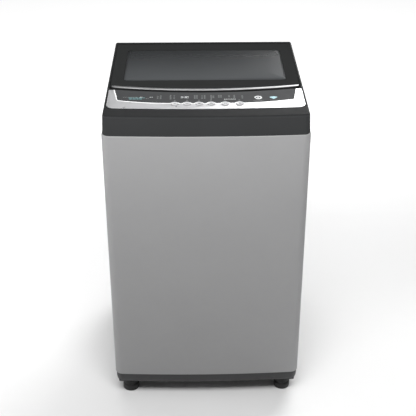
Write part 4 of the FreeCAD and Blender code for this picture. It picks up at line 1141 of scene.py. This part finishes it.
def around(count, shift=0.0):
    """Cosine and sine of equal steps round a circle, moved on by a share of a step."""
    turns = [2 * math.pi * (i + shift) / count for i in range(count)]
    return [(math.cos(a), math.sin(a)) for a in turns]


def radial_fins(name, count, near, far, thick, low, high, shift=0.0, y=TUB_Y):
    """Thin upright walls between two radii, evenly round a vertical line."""
    return [fin(name, (c * near, y + s * near), (c * far, y + s * far), thick, low, high)
            for c, s in around(count, shift)]


HOLE_COLUMNS, HOLE_ROWS, CELL = 48, 44, 4
HOLE_SHARE = 0.62
PRESS_DEPTH = 1.6


def pierce(bm, quad):
    """Ring of faces round a hole in the middle of a four-sided cell."""
    centre = sum((v.co for v in quad), Vector()) / 4
    hole = [bm.verts.new(centre + (v.co - centre) * HOLE_SHARE) for v in quad]
    for j in range(4):
        k = (j + 1) % 4
        bm.faces.new([quad[j], quad[k], hole[k], hole[j]])


def basket_wall(z0, z1):
    """Steel wall with pressed columns and rows of small holes."""
    bm = bmesh.new()
    steps = HOLE_COLUMNS * CELL
    layers = HOLE_ROWS * 2
    grid = []
    for k in range(layers + 1):
        z = z0 + (z1 - z0) * k / layers
        fade = min(1.0, (z - z0) / 20, (z1 - z) / 20)
        ring = []
        for i in range(steps):
            a = 2 * math.pi * i / steps
            press = PRESS_DEPTH * max(0.0, math.sin(math.pi * (i % 12) / 12)) * fade
            r = BASKET_R - 2.4 + press
            ring.append(bm.verts.new(upright(r * math.cos(a), TUB_Y + r * math.sin(a), z)))
        grid.append(ring)
    for k in range(layers):
        for i in range(steps):
            column, place = divmod(i, CELL)
            j = (i + 1) % steps
            quad = [grid[k][i], grid[k][j], grid[k + 1][j], grid[k + 1][i]]
            if place == 1 and k % 2 == 1 and column % 3 != 2:
                pierce(bm, quad)
            else:
                bm.faces.new(quad)
    mesh = bpy.data.meshes.new("basket_wall")
    bm.to_mesh(mesh)
    bm.free()
    wall = bpy.data.objects.new("basket_wall", mesh)
    bpy.context.scene.collection.objects.link(wall)
    tidy_mesh(wall, 40.0)
    sheet = wall.modifiers.new("sheet", "SOLIDIFY")
    sheet.thickness = 0.9 * MM
    sheet.offset = -1.0
    return wall


def make_basket():
    """Pierced steel basket: rows of small holes between pressed columns, hems and a floor."""
    r, low = BASKET_R, BASKET_BOTTOM
    z0, z1 = low + 14.0, BASKET_TOP - 24.0
    hem = [(r - 1.0, z1 - 2), (r - 0.2, z1), (r, BASKET_TOP), (r - 1.0, BASKET_TOP), (r - 1.2, z1 + 1),
           (r - 2.6, z1 - 2)]
    floor = [(r - 2.6, z0 + 2), (r - 1.0, z0 + 2), (r - 0.2, z0 - 3), (r - 1.5, low + 2), (r - 5.0, low),
             (17.2, low), (17.2, low + 2), (40, low + 2), (60, low + 3.6), (150, low + 3.6),
             (172, low + 2), (r - 6.0, low + 2), (r - 2.2, z0 - 5)]
    wall = basket_wall(z0, z1)
    hems = merge("basket_hems", [lathe("hem", hem), lathe("floor", floor)])
    fit_out(wall, "basket", "stainless", STAINLESS, "basket")
    fit_out(hems, "basket", "stainless", STAINLESS)


def make_balance_ring():
    """Balance ring with a rounded top, a weld rib and stiffening ribs on its inner wall."""
    out_r, in_r, top, low, r = BASKET_R + 3, RING_INNER_R, RING_TOP, BASKET_TOP, 6
    profile = [(out_r, low), (out_r, top - r)] + arc(out_r - r, top - r, r, 15, 90, 6)
    profile += [(210, top), (208.6, top + 1.0), (206.4, top + 1.0), (205, top)]
    profile += arc(in_r + r, top - r, r, 90, 165, 6)
    profile += [(in_r, low + 1.5), (in_r + 1.5, low)]
    pieces = [lathe("ring", profile, steps=160)]
    pieces += radial_fins("rib", 60, in_r + 0.5, in_r - 1.6, 2.2, low + 3.0, top - 9.0)
    fit_out(merge("balance_ring_shell", pieces), "basket", "white_plastic", WHITE, "balance_ring")


PULSATOR_RADII = (12, 16, 22, 30, 34, 40, 48, 58, 70, 82, 94, 106, 118, 130, 142, 150, 156, 160, 164, 167,
                  PULSATOR_R)
VANES, VANE_HIGH, DOME_HIGH = 6, 17.0, 26.0


def pulsator_ring(r, spokes):
    """The wash plate's upper side at a radius: dome, swirled vanes and raised rim."""
    dome = DOME_HIGH * max(0.0, 1 - max(r - 32, 0) / 40) ** 1.4
    rim = 3.0 * math.exp(-((r - 162) / 4.0) ** 2)
    blend = min(1.0, max(0.0, (r - 26) / 20)) * min(1.0, max(0.0, (158 - r) / 16))
    ring = []
    for i in range(spokes):
        a = 2 * math.pi * i / spokes
        crest = max(0.0, math.cos(VANES * (a + PULSATOR_SWIRL * (r - 30)))) ** 2.2
        z = PULSATOR_Z + 8 + max(dome, VANE_HIGH * crest * blend) + rim
        ring.append(upright(r * math.cos(a), TUB_Y + r * math.sin(a), z))
    return ring


def make_pulsator():
    """Wash plate: swirled vanes, a dome, a raised rim and rings of small drain collars."""
    spokes = 144
    base = PULSATOR_Z
    rings = [pulsator_ring(r, spokes) for r in PULSATOR_RADII]
    for r, z in ((PULSATOR_R, base + 1), (PULSATOR_R - 2, base), (60, base), (12.2, base)):
        rings.append([upright(r * c, TUB_Y + r * s, z) for c, s in around(spokes)])
    pieces = [skin("plate", close(rings), smooth=50.0)]
    collar = [(1.6, base + 7), (3.2, base + 7), (3.2, base + 8.8), (2.6, base + 9.3), (1.6, base + 9.0)]
    for ring_r in (146, 112):
        for i in range(12):
            a = 2 * math.pi * (i + 0.5) / 12 + PULSATOR_SWIRL * ring_r
            pieces.append(lathe("collar", collar, ring_r * math.cos(a), TUB_Y + ring_r * math.sin(a), 16))
    fit_out(merge("pulsator_plate", pieces), "pulsator", "white_plastic", WHITE, "pulsator")
    z = base + 24
    head = [(0.2, z + 3.2), (4.6, z + 3.2), (4.8, z + 4.6), (7.4, z + 4.9), (8.8, z + 3.6), (9.0, z + 1),
            (12.5, z + 0.8), (12.5, z), (4.9, z), (4.9, base + 5), (0.2, base + 5)]
    fit_out(lathe("head", head, steps=48), "pulsator", "steel", SCREW, "pulsator_screw")


def make_tub():
    """Water tub: drafted wall with hoops and ribs, rolled flange, floor ribs and four braced lugs."""
    r, low, top = TUB_R, TUB_BOTTOM, TUB_TOP
    profile = [(r - TUB_WALL, top), (r + 5, top), (r + 5, top - 3), (r + 4.4, top - 4), (r + 0.2, top - 4.4)]
    for z in range(730, 279, -90):
        profile += [(r, z + 4), (r + 2.6, z + 2.6), (r + 2.6, z - 2.6), (r, z - 4)]
    profile += [(r, low + 6), (r - 1.5, low + 1.5), (r - 6, low), (41, low), (41, low + 5), (r - 9, low + 5),
                (r - 4, low + 7), (r - TUB_WALL, low + 12)]
    pieces = [lathe("wall", profile, steps=120)]
    pieces += radial_fins("rib", 24, r - 0.5, r + 2.4, 2.4, low + 8, top - 6, 0.5)
    pieces += radial_fins("rib", 24, 96, r - 3, 2.4, low - 7, low + 1, 0.5)
    for sx in (-1, 1):
        for sy in (-1, 1):
            pieces += tub_lug(sx, sy)
    fit_out(merge("tub_shell", pieces), "tub", "tub_plastic", TUB, "outer_tub")


def tub_lug(sx, sy):
    """Arm that reaches from the tub to a rod, with webs and a seat round the hole."""
    x, y = sx * ROD_X, TUB_Y + sy * ROD_Y
    reach = math.hypot(ROD_X, ROD_Y)
    c, s = sx * ROD_X / reach, sy * ROD_Y / reach

    def at(along, across):
        return (c * along - s * across, TUB_Y + s * along + c * across)

    root, web_end, top = TUB_R - 6, TUB_R + 46, LUG_Z + LUG_T
    right = [(root, 24), (reach - 8, 24), (reach - 2, 21), (reach + 4, 14)]
    loop = [at(along, -across) for along, across in right] + [at(*place) for place in right[::-1]]
    arm = slab("arm", [loop], LUG_Z, top, upright)
    hole = rod("cut", upright(x, y, LUG_Z - 5), upright(x, y, LUG_Z + 20), 5.0, 24)
    pieces = [carve(arm, [hole])]
    for across in (-14, 0, 14):
        near, far = across - 1.5, across + 1.5
        base = [at(root, near), at(web_end, near), at(web_end, far), at(root, far)]
        low = [upright(px, py, top - 1) for px, py in base]
        high = [upright(px, py, z) for (px, py), z in zip(base, (top + 48, top, top, top + 48))]
        pieces.append(skin("web", [low, high], True, (True, True)))
    seat = [(5.2, top - 0.5), (13, top - 0.5), (12.4, top + 2), (5.2, top + 2)]
    pieces.append(lathe("seat", seat, x, y, 32))
    return pieces


CLIPS, CLIP_TURN = 12, 0.13
CLIP_SHIFT = CLIP_TURN * CLIPS / (2 * math.pi)


def make_tub_cover():
    """Ring over the tub's edge, with a lip, ribs and clips around the flange."""
    r = TUB_R
    top = TUB_TOP + 24
    profile = [(r + 5, TUB_TOP), (r + 5, top - 3), (r + 2.4, top - 0.6), (r, top), (224, top),
               (223, top - 1.2), (212, top - 1.2), (211, top), (205, top), (203.4, top - 1), (203, top - 3),
               (203, top - 10), (206, top - 10), (206, top - 3), (r - 3, top - 3), (r - 3, TUB_TOP)]
    pieces = [lathe("ring", profile, steps=140)]
    pieces += radial_fins("rib", 30, 225, r + 1, 1.8, top - 4.0, top + 1.6, 0.5)
    pieces += radial_fins("clip", CLIPS, r + 4.6, r + 7, 18, TUB_TOP - 7, TUB_TOP + 8, CLIP_SHIFT)
    fit_out(merge("tub_cover_ring", pieces), "tub", "tub_plastic", TUB, "tub_cover")


def spin_y(name, profile, x, z, steps=48, smooth=35.0):
    """A turned piece about a line along Y: profile is a closed loop of (radius, y)."""
    rings = [[upright(x + r * c, y, z + r * s) for r, y in profile] for c, s in around(steps)]
    rings.append(rings[0])
    return skin(name, rings, True, smooth=smooth)


def on_back(x, z, w):
    """A place on the back sheet, w outside it."""
    return upright(x, BACK_SHEET_Y + w, z)


def on_mouth_front(x, z, w):
    """A place on the mouth's front wall, w behind it."""
    return upright(x, MOUTH_FRONT_Y + w, z)


def on_filter(y, z, w):
    """A place on the lint filter's face, w towards the basket's wall."""
    return upright(FILTER_Y + w, TUB_Y + y, z)


BACK_RIB_X, BACK_RIB_HALF, BACK_RIB_LOW, BACK_RIB_HIGH, BACK_RIB_R = (-130, 0, 130), 12, 260, 800, 11.5
BACK_RIB_STEPS = ((0.0, -0.1), (0.8, -0.5), (3.4, -3.9), (4.4, -4.3))
BACK_SCREW_X, BACK_SCREW_Z = 264.5, (110.0, 360.0, 610.0, 850.0)


def back_rib(x, inset):
    """Outline of a pressed rib in the back sheet, moved in by inset."""
    half = BACK_RIB_HALF - inset
    return rounded_rect(x - half, BACK_RIB_LOW + inset, x + half, BACK_RIB_HIGH - inset,
                        BACK_RIB_R - inset, 8)


def make_back():
    """Back sheet with pressed ribs and two holes, its screws and the lead bushing."""
    loops = [rounded_rect(-267, 90, 267, 872, 4, 4), arc(SPOUT_X, SPOUT_Z, 32, 360, 8, 45),
             arc(LEAD_X, LEAD_Z, 8.1, 360, 12, 30)]
    loops += [back_rib(x, 0.0)[::-1] for x in BACK_RIB_X]
    pieces = [plate("sheet", loops, -1.0, 0.0, 0.2, on_back)]
    for x in BACK_RIB_X:
        rings = [[on_back(px, pz, w) for px, pz in back_rib(x, inset)] for inset, w in BACK_RIB_STEPS]
        pieces.append(skin("rib", rings, True, (False, True)))
    rim = [(32.0, 277.0), (32.0, 276.0), (30.4, 274.6), (29.6, 274.8), (30.8, 276.4), (31.0, 277.0)]
    pieces.append(spin_y("rim", rim, SPOUT_X, SPOUT_Z))
    fit_out(merge("back_sheet", pieces), "cabinet", "rear_steel", ZINC, "rear_panel")
    heads = [cross_screw(x, z) for x in (-BACK_SCREW_X, BACK_SCREW_X) for z in BACK_SCREW_Z]
    fit_out(merge("back_screws", heads), "cabinet", "screw_steel", SCREW, "rear_screws")
    bushing = [(4.0, 270), (7.9, 270), (7.9, 276.9), (11.2, 277), (12.0, 277.8), (11.4, 279.2),
               (9.6, 279.5), (8.6, 278.9), (7.2, 279.6), (5.0, 279.7), (4.0, 279.0)]
    gland = spin_y("lead_bushing", bushing, LEAD_X, LEAD_Z)
    fit_out(gland, "cabinet", "black_rubber", RUBBER, "cord_gland")


SCREW_PROFILE = ((1.8, -4.0), (1.8, 0.0), (4.0, 0.0), (4.0, 0.7), (3.5, 1.5), (2.6, 2.0))
CROSS_LONG, CROSS_SHORT = 2.1, 0.75


def cross_screw(x, z, base=BACK_Y):
    """Pan-head screw with a cross recess, driven along Y."""
    circle = around(32)
    rings = [[upright(x + r * c, base + y, z + r * s) for c, s in circle] for r, y in SCREW_PROFILE]
    for size, y in ((1.0, 2.0), (0.8, 1.0)):
        ring = []
        for i, (c, s) in enumerate(circle):
            arm = abs((i + 4) % 8 - 4) <= 1
            r = (CROSS_LONG if arm else CROSS_SHORT) * size
            ring.append(upright(x + r * c, base + y, z + r * s))
        rings.append(ring)
    return skin("screw", rings, True, (True, True))


STRAINER_BARS = (-6, -3, 0, 3, 6)


def make_inlet_valve():
    """Inlet valve: threaded stub with a strainer, body and ribbed coil."""
    x, z = STUB_X, STUB_Z
    thread = [(9.0, 243), (12.4, 243)]
    for k in range(8):
        y = 246.5 + 3.6 * k
        thread += [(12.3, y), (13.2, y + 1.1), (13.2, y + 1.9), (12.3, y + 3.0)]
    thread += [(12.3, 277.2), (11.6, 278), (9.6, 278), (9.0, 277.4)]
    pieces = [spin_y("stub", thread, x, z), block("body", x - 20, 205, z - 24, x + 20, 245, z + 20, r=5)]
    for d in STRAINER_BARS:
        pieces.append(block("bar", x + d - 0.4, 268, z - 8.6, x + d + 0.4, 269, z + 8.6))
    for d in STRAINER_BARS:
        pieces.append(block("bar", x - 8.6, 268.2, z + d - 0.4, x + 8.6, 269.2, z + d + 0.4))
    pieces.append(block("coil", x + 20, 210, z - 20, x + 48, 240, z + 14, r=4))
    for k in range(4):
        left = x + 22 + 6 * k
        pieces.append(block("rib", left, 208.6, z - 21.4, left + 3, 241.4, z + 15.4, r=1))
    valve = merge("inlet_valve_body", pieces)
    fit_out(valve, "cabinet", "white_plastic", WHITE, "inlet_valve")


def make_drain_valve():
    """Drain valve: cup under the tub, barbed spout and drive."""
    cup = [(15, 158), (21, 133), (22, 135), (22, 168), (20.4, 169), (20.4, 171), (22, 172), (22, 189.5),
           (15, 190)]
    spout = [(11.5, -100), (14, -100), (14, 246), (17, 247), (17, 249.4), (14, 250.2), (14, 254)]
    for k in range(3):
        y = 255 + 7 * k
        spout += [(14.0, y), (15.6, y + 1), (14.0, y + 6)]
    spout += [(13.6, 277.4), (12.6, 278), (11.5, 277.4)]
    pieces = [lathe("cup", cup, SPOUT_X, -100, 48), spin_y("spout", spout, SPOUT_X, SPOUT_Z),
              block("drive", 140, -118, 137, 192, -82, 169, r=5),
              block("motor", 146, -113, 169, 186, -87, 176, r=6)]
    fit_out(merge("drain_valve_body", pieces), "tub", "grey_plastic", GREY, "drain_valve")


def make_drawer():
    """Detergent drawer: rounded front with a finger slot, tray, divider and lip."""
    x0, x1, z0 = DRAWER_X0, DRAWER_X1, DRAWER_Z0
    face = rounded_rect(x0 - 5, z0 - 5, x1 + 5, DRAWER_Z1 + 5, 5, 5)
    front = plate("front", [face], -3.0, 0.0, 0.9, on_mouth_front)
    pieces = [carve(front, [block("cut", -147, -70.2, 899, -97, -66, 904)])]
    pieces.append(slab("floor", [rounded_rect(x0, -170, x1, -71, 4, 4)], z0, z0 + 2.5, upright))
    left, right, middle = x0 + 1.3, x1 - 1.3, -107
    for start, end in (((left, -168), (left, -71)), ((right, -168), (right, -71)),
                       ((x0 + 1, -168.7), (x1 - 1, -168.7)), ((middle, -168), (middle, -71))):
        pieces.append(fin("wall", start, end, 2.5, z0 + 2, z0 + 32))
    pieces.append(block("lip", -142, -71, 898.0, -102, -69.6, 899.4))
    fit_out(merge("drawer_tray", pieces), "drawer", "white_plastic", WHITE, "detergent_drawer")


def make_filter():
    """Lint filter: rounded frame with a net over its window."""
    low, high = FILTER_LOW, FILTER_HIGH
    loops = [rounded_rect(-28, low, 28, high, 9, 6), rounded_rect(-20, low + 14, 20, high - 20, 5, 5)[::-1]]
    pieces = [plate("frame", loops, 0.0, 14.5, 1.6, on_filter)]
    for k in range(11):
        y0, y1 = -18.35 + 3.6 * k, -17.65 + 3.6 * k
        thread = [(y0, low + 13), (y1, low + 13), (y1, high - 19), (y0, high - 19)]
        pieces.append(slab("net", [thread], 2.0, 2.7, on_filter))
    for k in range(40):
        z0, z1 = low + 15.65 + 3.75 * k, low + 16.35 + 3.75 * k
        thread = [(-20.5, z0), (20.5, z0), (20.5, z1), (-20.5, z1)]
        pieces.append(slab("net", [thread], 2.3, 3.0, on_filter))
    pieces.append(block("catch", FILTER_Y - 1.4, TUB_Y - 8, high - 14, FILTER_Y + 0.6, TUB_Y + 8, high - 6))
    fit_out(merge("lint_filter_frame", pieces), "filter", "white_plastic", GREY, "lint_filter")


SPRING_TURNS, WIRE_R, COIL_R = 6.5, 1.6, 12.2
ROD_PROFILE = ((0.3, 152), (2.4, 152), (3, 152.8), (3, 157), (6, 157), (6, 158), (14, 158.4), (16.6, 160),
               (17, 165), (15.8, 165), (15.6, 163.8), (3, 163.6), (3, 788), (8.2, 788), (9, 789), (8.6, 793),
               (6.4, 795.4), (0.3, 796))


def spring(x, y):
    """Coil spring between a rod's cap and a lug, its end turns closer than the rest."""
    steps = int(SPRING_TURNS * 28)
    travel = LUG_Z - SPRING_BOTTOM - 2 * WIRE_R
    rings = []
    for i in range(steps + 1):
        t = i / steps
        a = 2 * math.pi * SPRING_TURNS * t
        z = SPRING_BOTTOM + WIRE_R + travel * (t - math.sin(4 * math.pi * t) / 18)
        ring = []
        for across, up in around(10):
            r = COIL_R + WIRE_R * across
            ring.append(upright(x + r * math.cos(a), y + r * math.sin(a), z + WIRE_R * up))
        rings.append(ring)
    return skin("wire", rings, True, (True, True))


def make_suspension():
    """Coil springs between the rods' caps and the lugs, and the rods with their caps."""
    places = [(sx * ROD_X, TUB_Y + sy * ROD_Y) for sx in (-1, 1) for sy in (-1, 1)]
    springs = merge("suspension_coils", [spring(x, y) for x, y in places])
    springs.data.materials.append(STEEL)
    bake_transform(springs)
    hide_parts("suspension_springs")
    rods = merge("suspension_rod_set", [lathe("rod", ROD_PROFILE, x, y, 28) for x, y in places])
    fit_out(rods, "cabinet", "steel", STEEL, "suspension_rods")


MOTOR_Y = TUB_Y + 165.0
MOTOR_PROFILE = ((9.1, 121), (22, 121), (24, 122.5), (50, 123.5), (57, 125), (60, 128), (60, 139), (64, 140),
                 (64, 168), (60, 169), (60, 178), (57, 181.5), (46, 183), (20, 184), (9.1, 184), (9.1, 180),
                 (50, 178), (50, 128), (9.1, 126))
TIE_BOLT_PROFILE = ((0.3, 186.6), (3.4, 186.6), (4.2, 185.6), (4.2, 182), (0.3, 182))


def make_motor():
    """Motor with stepped shields, cooling ribs and tie bolts."""
    pieces = [lathe("case", MOTOR_PROFILE, 0, MOTOR_Y, 72)]
    pieces += radial_fins("rib", 36, 63, 65.6, 2.0, 142, 166, y=MOTOR_Y)
    pieces += [lathe("bolt", TIE_BOLT_PROFILE, 53 * c, MOTOR_Y + 53 * s, 20) for c, s in around(4, 0.5)]
    fit_out(merge("motor_case_shell", pieces), "tub", "motor_paint", MOTOR, "motor_case")


SOFT_NODES = ("rod_hangers", "motor_bracket", "drawer_housing", "lid_lock_case", "lid_lock_bolt",
              "level_sensor", "basket_hub", "bearing_housing", "drive_pulley", "motor_pulley", "drive_belt",
              "pulley_nut", "foot_nuts", "control_board")


def soften_nodes():
    """Rounded edges on the pieces that keep their designed shape."""
    for part in frame["record"]["subparts"]:
        node = frame["nodes"][part["node"]]
        if part["node"] in SOFT_NODES:
            edge = node.modifiers.new("rounded", "BEVEL")
            edge.width = 0.5 * MM
            edge.segments = 2
            edge.limit_method = "ANGLE"
            edge.angle_limit = math.radians(40)


# ---------------------------------------------------------------- build

make_cabinet()
make_base()
make_feet()
make_top_cover()
make_panel()
make_display()
make_prints()
make_buttons()
make_lid_frame()
make_trim()
make_glass()
make_basket()
make_balance_ring()
make_pulsator()
make_tub()
make_tub_cover()
make_back()
make_inlet_valve()
make_drain_valve()
make_drawer()
make_filter()
make_suspension()
make_motor()
soften_nodes()
